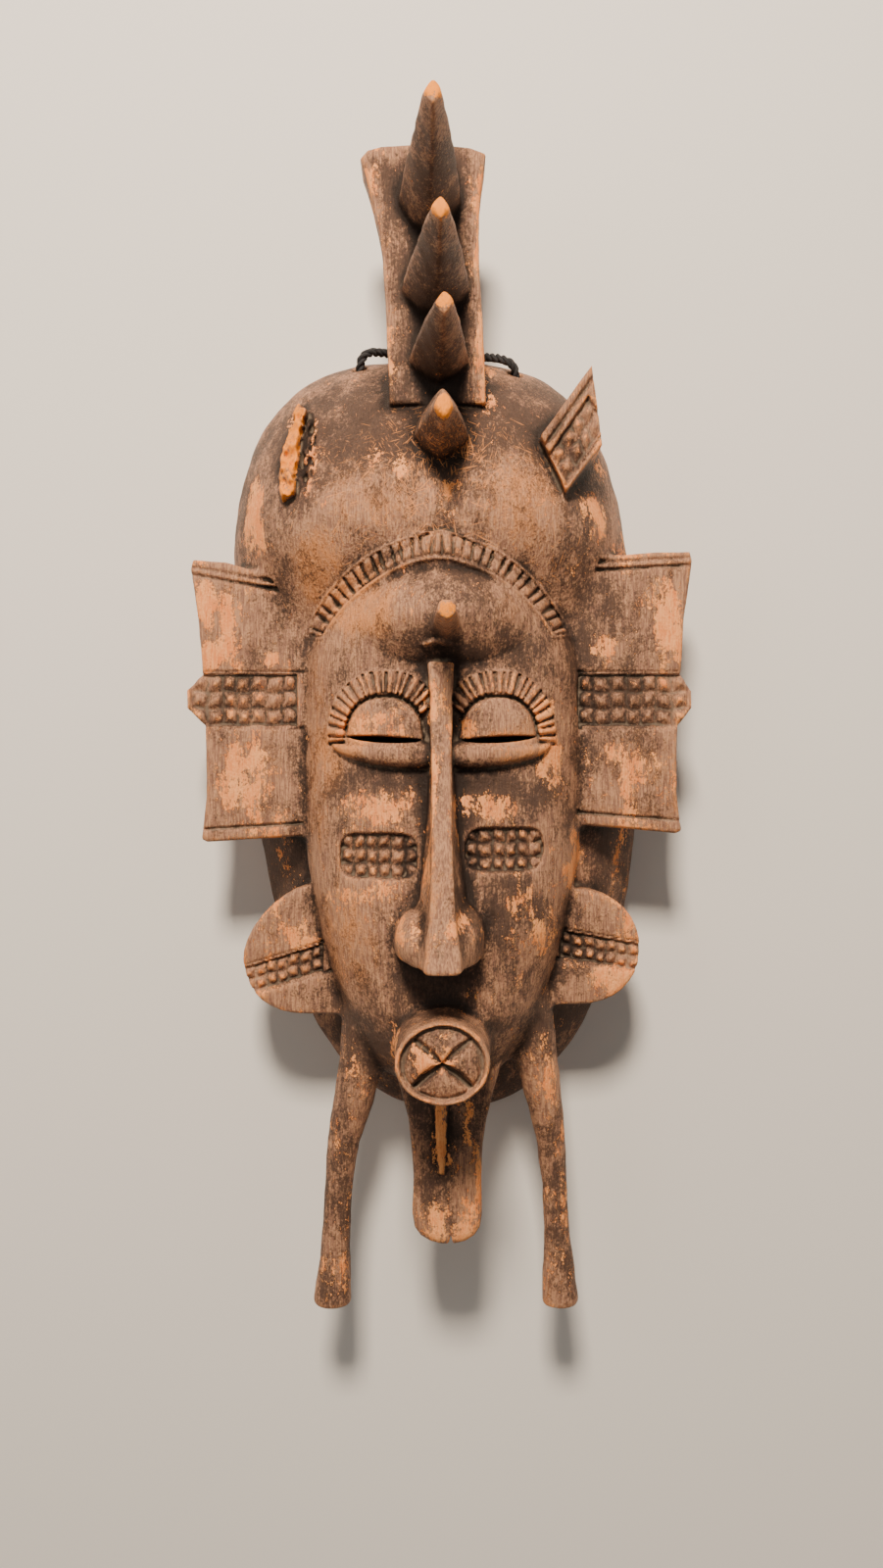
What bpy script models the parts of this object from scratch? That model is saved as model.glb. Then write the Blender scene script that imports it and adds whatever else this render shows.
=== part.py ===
"""Carved wooden face mask with a horned crest, lying face up on the flat rim of its hollow back.

Metres, +Z up. The crest points to +Y and the mask's left side, as seen from the front, is at -X.
Heights z are measured from the plane of the back rim, x from the middle of the face, and y from a
level just under the eyes. Everything hangs on one empty, which is set so that the origin of the
finished part is under the middle of the carving's box.
"""
import math

import bmesh
import bpy
from mathutils import Matrix, Vector

MM = 0.001

# Shell: a hollow bowl, rounded at the top and drawn in at the bottom
SHELL_TOP_Y = 144.5 * MM
SHELL_BOTTOM_Y = -112.0 * MM
SHELL_WIDEST_Y = 45.0 * MM
SHELL_HALF_WIDTH = 67.5 * MM
SHELL_DEPTH_DOME = 63.0 * MM
SHELL_DEPTH_LOW = 38.0 * MM
SHELL_DEPTH_CHANGE_Y = (88.0 * MM, 36.0 * MM)
SHELL_LEAN_Y = (110.0 * MM, -50.0 * MM)
SHELL_LEAN_X = (-4.6 * MM, 2.9 * MM)
SHELL_PLAN_POWER_TOP = 3.0
SHELL_PLAN_POWER_LOW = 2.4
SHELL_SECTION_POWER = 2.4
WALL = 9.0 * MM
HOLLOW_DEPTH = 47.0 * MM
HOLLOW_SECTION_POWER = 2.0
HOLLOW_SECTION_ROOT = 4.0 / 3.0
BOWL_END_SHARE = 0.003

# Face: an egg that stands proud of the shell
FACE_HALF_WIDTH = 45.0 * MM
FACE_BOTTOM_Y = -99.0 * MM
FACE_ROOT_Z = 28.0 * MM
FACE_SECTION_POWER = 2.5
FACE_CENTRE_X = 0.3 * MM
FACE_LINE = (  # y and height of the face's middle line, without nose, lids or forehead
    (76.0 * MM, 59.5 * MM),
    (60.0 * MM, 59.0 * MM),
    (34.0 * MM, 57.0 * MM),
    (0.0 * MM, 57.0 * MM),
    (-45.0 * MM, 60.5 * MM),
    (-70.0 * MM, 59.0 * MM),
    (-86.0 * MM, 52.0 * MM),
    (-99.0 * MM, 38.0 * MM),
)
FOREHEAD_CENTRE = (0.8 * MM, 50.0 * MM)
FOREHEAD_REACH = (27.0 * MM, 14.4 * MM)
FOREHEAD_RISE = 8.0 * MM

# Notched arch over the forehead
ARCH_CENTRE = (-1.3 * MM, 33.6 * MM)
ARCH_RADIUS = 43.4 * MM
ARCH_WIDTH_MIDDLE = 7.6 * MM
ARCH_WIDTH_END = 4.6 * MM
ARCH_RISE = 2.6 * MM
ARCH_SINK = 7.0 * MM
ARCH_FROM = math.radians(19.0)
ARCH_TO = math.radians(161.0)
ARCH_NOTCHES = 25
ARCH_NOTCH_DEPTH = 1.5 * MM
ARCH_NOTCH_WIDTH = 1.7 * MM
ARCH_NOTCH_SLANT = 0.035
ARCH_BORDER = 0.8 * MM

# Peg in the forehead
PEG_FOOT = (1.4 * MM, 47.0 * MM)
PEG_TIP_Z = 95.0 * MM
PEG_TIP_RADIUS = 2.6 * MM
PEG_FOOT_RADIUS = 3.8 * MM

# Nose
NOSE_TOP_Y = 35.5 * MM
NOSE_END_Y = -51.5 * MM
NOSE_TOP_Z = 62.0 * MM
NOSE_END_Z = 86.0 * MM
NOSE_X = (-0.2 * MM, 0.4 * MM)
NOSE_HALF_WIDTH = 3.6 * MM
NOSE_FOOT_SPREAD = (2.0 * MM, 5.4 * MM)
NOSTRIL_X = 6.6 * MM
NOSTRIL_Y = -45.4 * MM
NOSTRIL_Z = 63.0 * MM
NOSTRIL_SIZE = (7.0 * MM, 8.2 * MM, 15.0 * MM)

# Eyes: a notched brow over a half-closed lid, a slit cut right through, and a roll under it
EYE_X = 16.6 * MM
EYE_Y = 13.8 * MM
LID_SIZE = (13.0 * MM, 12.6 * MM, 6.2 * MM)
LID_SINK = 2.2 * MM
BROW_OUTER = (19.0 * MM, 21.4 * MM)
BROW_INNER = (12.4 * MM, 12.6 * MM)
BROW_RISE = 3.0 * MM
BROW_FAR_SHARE = 0.5
BROW_NOTCHES = 11
BROW_NOTCH_DEPTH = 1.2 * MM
BROW_NOTCH_WIDTH = 1.5 * MM
SLIT_LENGTH = 23.0 * MM
SLIT_HEIGHT = 2.2 * MM
LOWER_LID_RADIUS = 3.3 * MM
LOWER_LID_SAG = 5.0 * MM
LOWER_LID_LENGTH = 30.0 * MM

# Mouth: a tube that stands out from the chin, closed by a domed disc with a crossed cut
MOUTH_X = 0.3 * MM
MOUTH_Y = -78.8 * MM
MOUTH_Z = 80.0 * MM
MOUTH_SIZE = (13.3 * MM, 11.6 * MM)
MOUTH_ROOT_SPREAD = 1.1
MOUTH_ROOT_SINK = 10.0 * MM
MOUTH_CUT_WIDTH = 2.0 * MM
MOUTH_CUT_DEPTH = 2.4 * MM

# Flat forms: wings, ear tabs, crest plate and the tongue-shaped beard
PLATE_EDGE = 1.1 * MM
WING_FRONT_Z = 37.0 * MM
WING_THICKNESS = 10.0 * MM
WING_ROOT_X = 38.0 * MM
WING_REACH = 76.2 * MM
WING_TOP_FLARE = 3.6 * MM
WING_TOP_Y = (71.4 * MM, 74.0 * MM)
WING_TOP_DROP = (8.6 * MM, 2.4 * MM)
WING_BOTTOM_Y = (-18.6 * MM, -15.8 * MM)
WING_BOTTOM_RISE = (2.4 * MM, 3.4 * MM)
WING_BAND_Y = (35.2 * MM, 18.2 * MM)
WING_BUMP = (4.8 * MM, 3.3 * MM)
WING_BAND_ROWS = 3
WING_BAND_COLUMNS = 7
WING_BAND_GAP = 0.8 * MM
WING_MOULDING = (4.6 * MM, 4.4 * MM)
EAR_FRONT_Z = 36.0 * MM
EAR_THICKNESS = 10.0 * MM
EAR_ROOT_X = 28.0 * MM
EAR_CENTRE_X = 42.5 * MM
EAR_CENTRE_Y = (-55.0 * MM, -52.0 * MM)
EAR_SIZE = (20.8 * MM, 18.4 * MM)
EAR_TOP_RISE = (22.8 * MM, 18.8 * MM)
EAR_TOP_ROUNDING = (1.25, 0.96)
EAR_BAND_HEIGHT = 8.6 * MM
EAR_BAND_REACH = 1.16
EAR_BAND_SLOPE = (math.radians(17.0), math.radians(10.0))
EAR_BAND_Y = (-55.4 * MM, -51.0 * MM)
EAR_BAND_ROWS = 2
EAR_BAND_COLUMNS = 6
CREST_TOP_Y = 199.0 * MM
CREST_FOOT_Y = 118.0 * MM
CREST_FRONT_Z = 45.0 * MM
CREST_THICKNESS = 15.0 * MM
CREST_HALF_WIDTH = 15.1 * MM
CREST_FLARE = 5.8 * MM
CREST_FLARE_FROM_Y = 160.0 * MM
CREST_LEAN_X = (-1.2 * MM, -6.4 * MM)
CREST_TOP_BOW = 2.4 * MM
BEARD_BOTTOM_Y = -143.4 * MM
BEARD_TOP_Y = -86.0 * MM
BEARD_FRONT_Z = 46.0 * MM
BEARD_THICKNESS = 13.0 * MM
BEARD_HALF_WIDTH = 11.3 * MM
BEARD_TOP_HALF_WIDTH = 15.6 * MM
BEARD_X = 1.8 * MM
BEARD_STRIP_WIDTH = (4.4 * MM, 2.2 * MM)
BEARD_STRIP_Y = (-100.5 * MM, -121.0 * MM)
BEARD_STRIP_RISE = 1.0 * MM

# Horns on the crest: foot centre x and y, half width, half height, foot z, tip x, y and z
HORNS = (
    (-4.0 * MM, 183.4 * MM, 10.0 * MM, 14.6 * MM, 38.0 * MM, -2.2 * MM, 186.0 * MM, 95.0 * MM),
    (-2.2 * MM, 156.0 * MM, 11.0 * MM, 12.8 * MM, 38.0 * MM, -0.1 * MM, 157.2 * MM, 90.0 * MM),
    (-1.0 * MM, 134.0 * MM, 9.8 * MM, 10.6 * MM, 38.0 * MM, 0.8 * MM, 133.4 * MM, 85.0 * MM),
    (-0.4 * MM, 109.6 * MM, 9.4 * MM, 12.8 * MM, 40.0 * MM, 0.8 * MM, 105.8 * MM, 82.0 * MM),
)
HORN_TIP_SIZE = (2.2 * MM, 3.2 * MM)
HORN_BELLY = 1.35

# Legs: from the shell's lower sides down to two small flared feet
FOOT_Y = -166.6 * MM
LEG_Z = 32.0 * MM
LEFT_LEG = (  # y, x, half width
    (-72.0 * MM, -24.0 * MM, 6.4 * MM),
    (-90.0 * MM, -26.0 * MM, 6.6 * MM),
    (-101.0 * MM, -28.2 * MM, 6.3 * MM),
    (-114.0 * MM, -31.4 * MM, 5.1 * MM),
    (-128.0 * MM, -33.0 * MM, 4.4 * MM),
    (-142.0 * MM, -33.6 * MM, 4.4 * MM),
    (-156.0 * MM, -34.4 * MM, 5.2 * MM),
    (-164.6 * MM, -35.0 * MM, 5.9 * MM),
    (FOOT_Y, -35.0 * MM, 4.9 * MM),
)
RIGHT_LEG = (
    (-70.0 * MM, 28.0 * MM, 6.6 * MM),
    (-86.0 * MM, 30.2 * MM, 6.6 * MM),
    (-98.0 * MM, 32.4 * MM, 5.9 * MM),
    (-112.0 * MM, 34.8 * MM, 4.7 * MM),
    (-128.0 * MM, 36.3 * MM, 3.9 * MM),
    (-143.0 * MM, 37.0 * MM, 4.0 * MM),
    (-156.0 * MM, 37.6 * MM, 5.1 * MM),
    (-164.6 * MM, 38.0 * MM, 5.7 * MM),
    (FOOT_Y, 38.0 * MM, 4.7 * MM),
)

# Cheek patches of small pyramids
CHEEK_X = (8.2 * MM, 30.4 * MM)
CHEEK_Y = ((-15.4 * MM, -28.4 * MM), (-13.8 * MM, -25.8 * MM))
CHEEK_ROWS = 3
CHEEK_COLUMNS = 6

# Lozenge flap on the right of the dome, and the stump where its partner broke off
LOZENGE = (  # left, top, right and bottom corners: x as a share of the shell's half width, and y
    (0.4356, 108.6 * MM),
    (0.6815, 128.2 * MM),
    (0.7289, 103.4 * MM),
    (0.5630, 90.2 * MM),
)
LOZENGE_RISE = 14.7 * MM
LOZENGE_SINK = 3.0 * MM
LOZENGE_BORDER = 2.4 * MM
LOZENGE_ROWS = 3
LOZENGE_COLUMNS = 3
STUMP_TOP = (-0.667, 123.0 * MM)
STUMP_BOTTOM = (-0.702, 87.0 * MM)
STUMP_HALF_WIDTH = 3.9 * MM
STUMP_BOW = 1.5 * MM
STUMP_RISE = 4.0 * MM

# Grooves and small pyramids
GROOVE_WIDTH = 1.5 * MM
GROOVE_DEPTH = 1.0 * MM
PYRAMID_DEPTH = 1.3 * MM
PYRAMID_SLANT_DEPTH = 1.15 * MM
PYRAMID_OVERRUN = 0.4 * MM
PYRAMID_TOP = 0.8 * MM

# Cord and its holes
CORD_DIAMETER = 3.0 * MM
CORD_HOLE_DIAMETER = 5.2 * MM
CORD_POINT_SPACING = 4.8 * MM
KNOT_DIAMETER = 8.0 * MM
TOUCH_GAP = 0.3 * MM
CORD_ROUTE = (  # from the left knot, out of its hole, along the floor behind the crest, and back in
    (-27.0 * MM, 117.6 * MM, 8.5 * MM),
    (-27.0 * MM, 119.4 * MM, 11.4 * MM),
    (-27.0 * MM, 123.4 * MM, 14.2 * MM),
    (-27.0 * MM, 128.2 * MM, 16.9 * MM),
    (-27.0 * MM, 132.8 * MM, 19.4 * MM),
    (-26.9 * MM, 136.9 * MM, 21.5 * MM),
    (-26.0 * MM, 140.2 * MM, 22.6 * MM),
    (-23.6 * MM, 142.3 * MM, 21.6 * MM),
    (-20.0 * MM, 143.4 * MM, 18.4 * MM),
    (-16.2 * MM, 144.4 * MM, 14.2 * MM),
    (-12.0 * MM, 145.4 * MM, 9.6 * MM),
    (-7.4 * MM, 146.2 * MM, 5.2 * MM),
    (-2.0 * MM, 146.6 * MM, 2.6 * MM),
    (3.6 * MM, 146.4 * MM, 4.0 * MM),
    (8.2 * MM, 145.2 * MM, 9.0 * MM),
    (12.2 * MM, 143.6 * MM, 14.0 * MM),
    (16.0 * MM, 141.9 * MM, 18.4 * MM),
    (20.0 * MM, 140.0 * MM, 21.8 * MM),
    (23.2 * MM, 138.0 * MM, 22.7 * MM),
    (24.4 * MM, 135.0 * MM, 21.3 * MM),
    (24.6 * MM, 131.0 * MM, 19.2 * MM),
    (24.6 * MM, 126.6 * MM, 16.8 * MM),
    (24.6 * MM, 122.2 * MM, 14.2 * MM),
    (24.6 * MM, 118.4 * MM, 11.4 * MM),
    (24.6 * MM, 116.6 * MM, 8.5 * MM),
)
CORD_HOLES = (  # inner and outer end of each hole's middle line
    ((-27.0 * MM, 117.5 * MM, 11.3 * MM), (-26.7 * MM, 140.5 * MM, 23.4 * MM)),
    ((24.6 * MM, 117.5 * MM, 11.8 * MM), (23.9 * MM, 139.5 * MM, 23.5 * MM)),
)

EMBED = 3.0 * MM


def lerp(a, b, t):
    """The value a share t of the way from a to b."""
    return a + (b - a) * t


def ease(a, b, t):
    """From a to b with a soft start and end, for t from 0 to 1."""
    t = min(max(t, 0.0), 1.0)
    return lerp(a, b, t * t * (3.0 - 2.0 * t))


def along(table, y):
    """Read a table of (y, value...) rows, from high y to low, in straight lines between the rows."""
    if y >= table[0][0]:
        return table[0][1:]
    for upper, lower in zip(table, table[1:]):
        if y >= lower[0]:
            t = (upper[0] - y) / (upper[0] - lower[0])
            return tuple(lerp(a, b, t) for a, b in zip(upper[1:], lower[1:]))
    return table[-1][1:]


def round_off(u, power, root):
    """1 in the middle, falling to 0 at u = 1, as a superellipse does."""
    return max(0.0, 1.0 - min(abs(u), 1.0) ** power) ** (1.0 / root)


def shell_share(y):
    """How far y lies from the shell's widest level, as a share of the way to its end."""
    if y > SHELL_WIDEST_Y:
        return (y - SHELL_WIDEST_Y) / (SHELL_TOP_Y - SHELL_WIDEST_Y)
    return (SHELL_WIDEST_Y - y) / (SHELL_WIDEST_Y - SHELL_BOTTOM_Y)


def shell_half_width(y):
    """Half the shell's width at the level y."""
    power = SHELL_PLAN_POWER_TOP if y > SHELL_WIDEST_Y else SHELL_PLAN_POWER_LOW
    return SHELL_HALF_WIDTH * round_off(shell_share(y), power, power)


def shell_centre(y):
    """The shell's middle line leans to the left at the top."""
    start, end = SHELL_LEAN_Y
    return ease(SHELL_LEAN_X[0], SHELL_LEAN_X[1], (start - y) / (start - end))


def shell_depth(y):
    """Height of the shell's middle line above the rim plane."""
    start, end = SHELL_DEPTH_CHANGE_Y
    depth = ease(SHELL_DEPTH_DOME, SHELL_DEPTH_LOW, (start - y) / (start - end))
    return depth * round_off(shell_share(y), 2.0, 2.0)


def hollow_section(y, angle):
    """A point of the hollow's section at the shell's level y, a wall's thickness inside the shell."""
    c = math.cos(angle)
    x = math.copysign(abs(c) ** (2.0 / HOLLOW_SECTION_POWER), c)
    z = HOLLOW_DEPTH * round_off(shell_share(y), 2.0, 2.0)
    z *= max(0.0, 1.0 - abs(x) ** HOLLOW_SECTION_POWER) ** (1.0 / HOLLOW_SECTION_ROOT)
    return (shell_centre(y) + (shell_half_width(y) - WALL * shell_half_width(y) / SHELL_HALF_WIDTH) * x, z)


def shell_section(y, angle):
    """A point of the shell's outer section at the level y."""
    c, s = math.cos(angle), max(0.0, math.sin(angle))
    x = math.copysign(abs(c) ** (2.0 / SHELL_SECTION_POWER), c)
    return (shell_centre(y) + shell_half_width(y) * x, shell_depth(y) * s ** (2.0 / SHELL_SECTION_POWER))


def shell_height(x, y):
    """Height of the shell's outer surface."""
    half = shell_half_width(y)
    if half <= 0.0:
        return 0.0
    return shell_depth(y) * round_off((x - shell_centre(y)) / half, SHELL_SECTION_POWER, SHELL_SECTION_POWER)


def face_half_width(y):
    """Half the face's width: a round arch on top, straight sides, and an egg's end at the chin."""
    if y > ARCH_CENTRE[1]:
        return math.sqrt(max(0.0, 1.0 - ((y - ARCH_CENTRE[1]) / ARCH_RADIUS) ** 2)) * FACE_HALF_WIDTH
    if y > 0.0:
        return FACE_HALF_WIDTH
    return FACE_HALF_WIDTH * max(0.0, 1.0 - (y / FACE_BOTTOM_Y) ** 1.8) ** 0.45


def forehead_rise(x, y):
    """The forehead swells out round the peg and is cut back above the brows."""
    u = (x - FOREHEAD_CENTRE[0]) / FOREHEAD_REACH[0]
    v = (y - FOREHEAD_CENTRE[1]) / FOREHEAD_REACH[1]
    return FOREHEAD_RISE * max(0.0, 1.0 - u * u - v * v) ** 1.2


def face_height(x, y):
    """Height of the face's surface, without nose, lids and brows."""
    half = face_half_width(y)
    if half <= 0.0:
        return 0.0
    middle = along(FACE_LINE, y)[0]
    share = round_off((x - FACE_CENTRE_X) / half, FACE_SECTION_POWER, 2.0)
    root = min(FACE_ROOT_Z, middle - EMBED)
    return root + (middle - root) * share + forehead_rise(x, y)


def skin_height(x, y):
    """Height of the carved front, shell and face together."""
    return max(shell_height(x, y), face_height(x, y))


def skin_normal(x, y):
    """The way the carved front faces at a place."""
    step = 1.0 * MM
    dx = (skin_height(x + step, y) - skin_height(x - step, y)) / (2.0 * step)
    dy = (skin_height(x, y + step) - skin_height(x, y - step)) / (2.0 * step)
    return Vector((-dx, -dy, 1.0)).normalized()


def box_middle():
    """The middle of the carving's box: half way between the wings' tips, and from feet to crest."""
    left, right = (WING_REACH + max(WING_BUMP[i], WING_TOP_FLARE) for i in (0, 1))
    return Vector(((right - left) / 2.0, (CREST_TOP_Y + FOOT_Y) / 2.0, 0.0))


def start_scene():
    """Empty the scene and make one collection for the mask and one for what shapes it."""
    for old in list(bpy.data.objects):
        bpy.data.objects.remove(old, do_unlink=True)
    made = {}
    for name in ("senufo_kpelie_mask", "added_forms", "cut_forms"):
        made[name] = bpy.data.collections.new(name)
        bpy.context.scene.collection.children.link(made[name])
    return made


def start_origin():
    """The empty that everything hangs on, which puts the origin under the middle of the box."""
    empty = bpy.data.objects.new("mask_origin", None)
    empty.location = -box_middle()
    COLLECTIONS["senufo_kpelie_mask"].objects.link(empty)
    return empty


COLLECTIONS = start_scene()
ORIGIN_EMPTY = start_origin()


def keep(name, mesh, group):
    """Make an object of a mesh. Only the mask's own pieces stay visible."""
    obj = bpy.data.objects.new(name, mesh)
    obj.parent = ORIGIN_EMPTY
    COLLECTIONS[group].objects.link(obj)
    if group != "senufo_kpelie_mask":
        obj.hide_render = True
        obj.display_type = "WIRE"
    return obj


def from_bmesh(name, bm, group):
    """Close a bmesh into an object, with its faces pointing out."""
    bmesh.ops.recalc_face_normals(bm, faces=bm.faces)
    mesh = bpy.data.meshes.new(name)
    bm.to_mesh(mesh)
    bm.free()
    return keep(name, mesh, group)


def loft(name, rings, group="added_forms"):
    """A closed body through rings of points that all have the same count."""
    bm = bmesh.new()
    rows = [[bm.verts.new(point) for point in ring] for ring in rings]
    count = len(rows[0])
    for low, high in zip(rows, rows[1:]):
        for i in range(count):
            j = (i + 1) % count
            bm.faces.new((low[i], low[j], high[j], high[i]))
    bm.faces.new(rows[0][::-1])
    bm.faces.new(rows[-1])
    return from_bmesh(name, bm, group)


def plate(name, outline, front_z, thickness, edge=PLATE_EDGE, group="added_forms"):
    """A flat form with the given outline and softened edges."""
    curve = bpy.data.curves.new(name, "CURVE")
    curve.dimensions = "2D"
    curve.fill_mode = "BOTH"
    curve.extrude = thickness / 2.0 - edge
    curve.bevel_depth = edge
    curve.bevel_resolution = 0
    curve.offset = -edge
    spline = curve.splines.new("POLY")
    spline.points.add(len(outline) - 1)
    for point, (x, y) in zip(spline.points, outline):
        point.co = (x, y, 0.0, 1.0)
    spline.use_cyclic_u = True
    flat = bpy.data.objects.new(name + "_outline", curve)
    flat.location.z = front_z - thickness / 2.0
    COLLECTIONS[group].objects.link(flat)
    bpy.context.view_layer.update()
    seen = flat.evaluated_get(bpy.context.evaluated_depsgraph_get())
    mesh = bpy.data.meshes.new_from_object(seen)
    bm = bmesh.new()
    bm.from_mesh(mesh)
    bmesh.ops.remove_doubles(bm, verts=bm.verts, dist=0.01 * MM)
    bmesh.ops.dissolve_degenerate(bm, edges=bm.edges, dist=0.01 * MM)
    bmesh.ops.transform(bm, matrix=flat.matrix_world, verts=bm.verts)
    bpy.data.objects.remove(flat, do_unlink=True)
    bpy.data.meshes.remove(mesh)
    return from_bmesh(name, bm, group)


def ball(name, centre, size, segments=16, rings=10, turn=None, group="added_forms"):
    """An ellipsoid with the given half sizes."""
    bm = bmesh.new()
    bmesh.ops.create_uvsphere(bm, u_segments=segments, v_segments=rings, radius=1.0)
    matrix = Matrix.Translation(centre) @ (turn or Matrix.Identity(4)) @ Matrix.Diagonal((*size, 1.0))
    bmesh.ops.transform(bm, matrix=matrix, verts=bm.verts)
    return from_bmesh(name, bm, group)


def rod(name, start, end, start_radius, end_radius, sides=12, group="added_forms"):
    """A round rod between two points, with its own radius at each end."""
    start, end = Vector(start), Vector(end)
    bm = bmesh.new()
    bmesh.ops.create_cone(bm, cap_ends=True, segments=sides, radius1=start_radius,
                          radius2=end_radius, depth=(end - start).length)
    turn = (end - start).to_track_quat("Z", "Y").to_matrix().to_4x4()
    bmesh.ops.transform(bm, matrix=Matrix.Translation((start + end) / 2.0) @ turn, verts=bm.verts)
    return from_bmesh(name, bm, group)


def groove(name, points, normals, width=GROOVE_WIDTH, depth=GROOVE_DEPTH):
    """A V-shaped cut that follows points on the surface."""
    lift = depth
    spread = width / 2.0 * (depth + lift) / depth
    points = [Vector(point) for point in points]
    rings = []
    for i, (point, normal) in enumerate(zip(points, normals)):
        ahead = points[min(i + 1, len(points) - 1)] - points[max(i - 1, 0)]
        side = ahead.cross(normal).normalized()
        rings.append((point + normal * lift + side * spread, point - normal * depth,
                      point + normal * lift - side * spread))
    return loft(name, rings, "cut_forms")


def skin_groove(name, places, width=GROOVE_WIDTH, depth=GROOVE_DEPTH):
    """A V-shaped cut that follows the carved front."""
    points = [Vector((x, y, skin_height(x, y))) for x, y in places]
    return groove(name, points, [skin_normal(x, y) for x, y in places], width, depth)


def straight(start, end, steps=1):
    """Evenly spaced places on the straight line between two places."""
    return [(lerp(start[0], end[0], i / steps), lerp(start[1], end[1], i / steps)) for i in range(steps + 1)]


def flat_groove(name, start, end, z, width=GROOVE_WIDTH, depth=GROOVE_DEPTH):
    """A straight V-shaped cut in a flat face at the height z."""
    points = [(x, y, z) for x, y in straight(start, end)]
    return groove(name, points, [Vector((0.0, 0.0, 1.0))] * 2, width, depth)


def pyramids(name, corner, row_way, column_way, rows, columns, z, slanting=False):
    """Crossing V-shaped cuts in a flat face, which leave rows of small pyramids.

    In a slanting patch the cuts run on a little, and those of one way are shallower, so that no end
    or valley of one cut lies in another's.
    """
    corner, row_way, column_way = Vector(corner), Vector(row_way), Vector(column_way)
    row_pitch = column_way.length / rows
    column_pitch = row_way.length / columns
    column_depth = PYRAMID_SLANT_DEPTH if slanting else PYRAMID_DEPTH
    overrun = PYRAMID_OVERRUN if slanting else 0.0
    row_run, column_run = row_way.normalized() * overrun, column_way.normalized() * overrun
    for i in range(rows + 1):
        start = corner + column_way * (i / rows)
        flat_groove(f"{name}_row_{i}", start - row_run, start + row_way + row_run, z,
                    row_pitch - PYRAMID_TOP, PYRAMID_DEPTH)
    for i in range(columns + 1):
        start = corner + row_way * (i / columns)
        flat_groove(f"{name}_column_{i}", start - column_run, start + column_way + column_run, z,
                    column_pitch - PYRAMID_TOP, column_depth)


def cosine_levels(start, end, count):
    """Levels from start to end, closer together near both ends."""
    return [lerp(start, end, 0.5 - 0.5 * math.cos(math.pi * i / (count - 1))) for i in range(count)]


def bowl_rings(section, inset, sides, levels):
    """Rings of a bowl from its top to its bottom, each half a section over the rim plane."""
    rings = []
    for share in cosine_levels(BOWL_END_SHARE, 1.0 - BOWL_END_SHARE, levels):
        y = lerp(SHELL_TOP_Y - inset, SHELL_BOTTOM_Y + inset, share)
        level = lerp(SHELL_TOP_Y, SHELL_BOTTOM_Y, share)
        ring = [(x, y, z) for x, z in (section(level, math.pi * i / (sides - 1)) for i in range(sides))]
        if inset:
            ring.append((ring[-1][0], y, -EMBED))
            ring.append((ring[0][0], y, -EMBED))
        rings.append(ring)
    return rings


def add_shell():
    """The bowl, solid for now, which every other form joins."""
    shell = loft("mask", bowl_rings(shell_section, 0.0, 21, 24), "senufo_kpelie_mask")
    loft("hollow", bowl_rings(hollow_section, WALL, 11, 14), "cut_forms")
    return shell


def add_face():
    """The egg-shaped face, from the arch down to the chin."""
    top = ARCH_CENTRE[1] + ARCH_RADIUS
    rings = []
    for share in cosine_levels(0.01, 0.985, 24):
        y = lerp(top, FACE_BOTTOM_Y, share)
        half = face_half_width(y)
        ring = []
        for i in range(15):
            x = FACE_CENTRE_X + half * math.cos(math.pi * i / 14.0)
            ring.append((x, y, face_height(x, y)))
        ring.append((FACE_CENTRE_X - half, y, WALL))
        ring.append((FACE_CENTRE_X + half, y, WALL))
        rings.append(ring)
    loft("face", rings)


def arch_place(angle, inward=0.0):
    """A place on the arch, or a way in from its outer edge."""
    radius = ARCH_RADIUS - inward
    return (ARCH_CENTRE[0] + radius * math.cos(angle), ARCH_CENTRE[1] + radius * math.sin(angle))


def arch_width(angle):
    """The arch is widest over the forehead."""
    middle = (ARCH_FROM + ARCH_TO) / 2.0
    share = abs(angle - middle) / (ARCH_TO - middle)
    return lerp(ARCH_WIDTH_MIDDLE, ARCH_WIDTH_END, share * share)


def arch_top(angle, inward):
    """A point of the arch's upper face."""
    outer = skin_height(*arch_place(angle, 1.0 * MM))
    inner = skin_height(*arch_place(angle, arch_width(angle)))
    z = lerp(outer, inner, inward / arch_width(angle)) + ARCH_RISE
    return Vector((*arch_place(angle, inward), z))


def add_arch():
    """The raised band over the forehead, with cuts across it."""
    rings = []
    steps = 16
    for i in range(steps + 1):
        angle = lerp(ARCH_FROM, ARCH_TO, i / steps)
        ring = []
        for inward, rise in ((-0.4 * MM, -ARCH_SINK), (0.0, ARCH_RISE), (arch_width(angle), ARCH_RISE),
                             (arch_width(angle) + 0.4 * MM, -ARCH_SINK)):
            x, y = arch_place(angle, inward)
            ring.append((x, y, skin_height(*arch_place(angle, max(inward, 1.0 * MM))) + rise))
        rings.append(ring)
    loft("arch_band", rings)
    for i in range(ARCH_NOTCHES):
        angle = lerp(ARCH_FROM, ARCH_TO, (i + 0.8) / (ARCH_NOTCHES + 0.6))
        outer = arch_top(angle - ARCH_NOTCH_SLANT, ARCH_BORDER)
        inner = arch_top(angle + ARCH_NOTCH_SLANT, arch_width(angle) - ARCH_BORDER)
        tangent = Vector((-math.sin(angle), math.cos(angle), 0.0))
        normal = tangent.cross(inner - outer).normalized()
        groove(f"arch_notch_{i}", (outer, inner), (normal, normal), ARCH_NOTCH_WIDTH, ARCH_NOTCH_DEPTH)


def add_peg():
    """The peg that stands out of the forehead."""
    x, y = PEG_FOOT
    rod("peg", (x, y, face_height(x, y) - EMBED), (x, y, PEG_TIP_Z), PEG_FOOT_RADIUS, PEG_TIP_RADIUS, 10)


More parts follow.
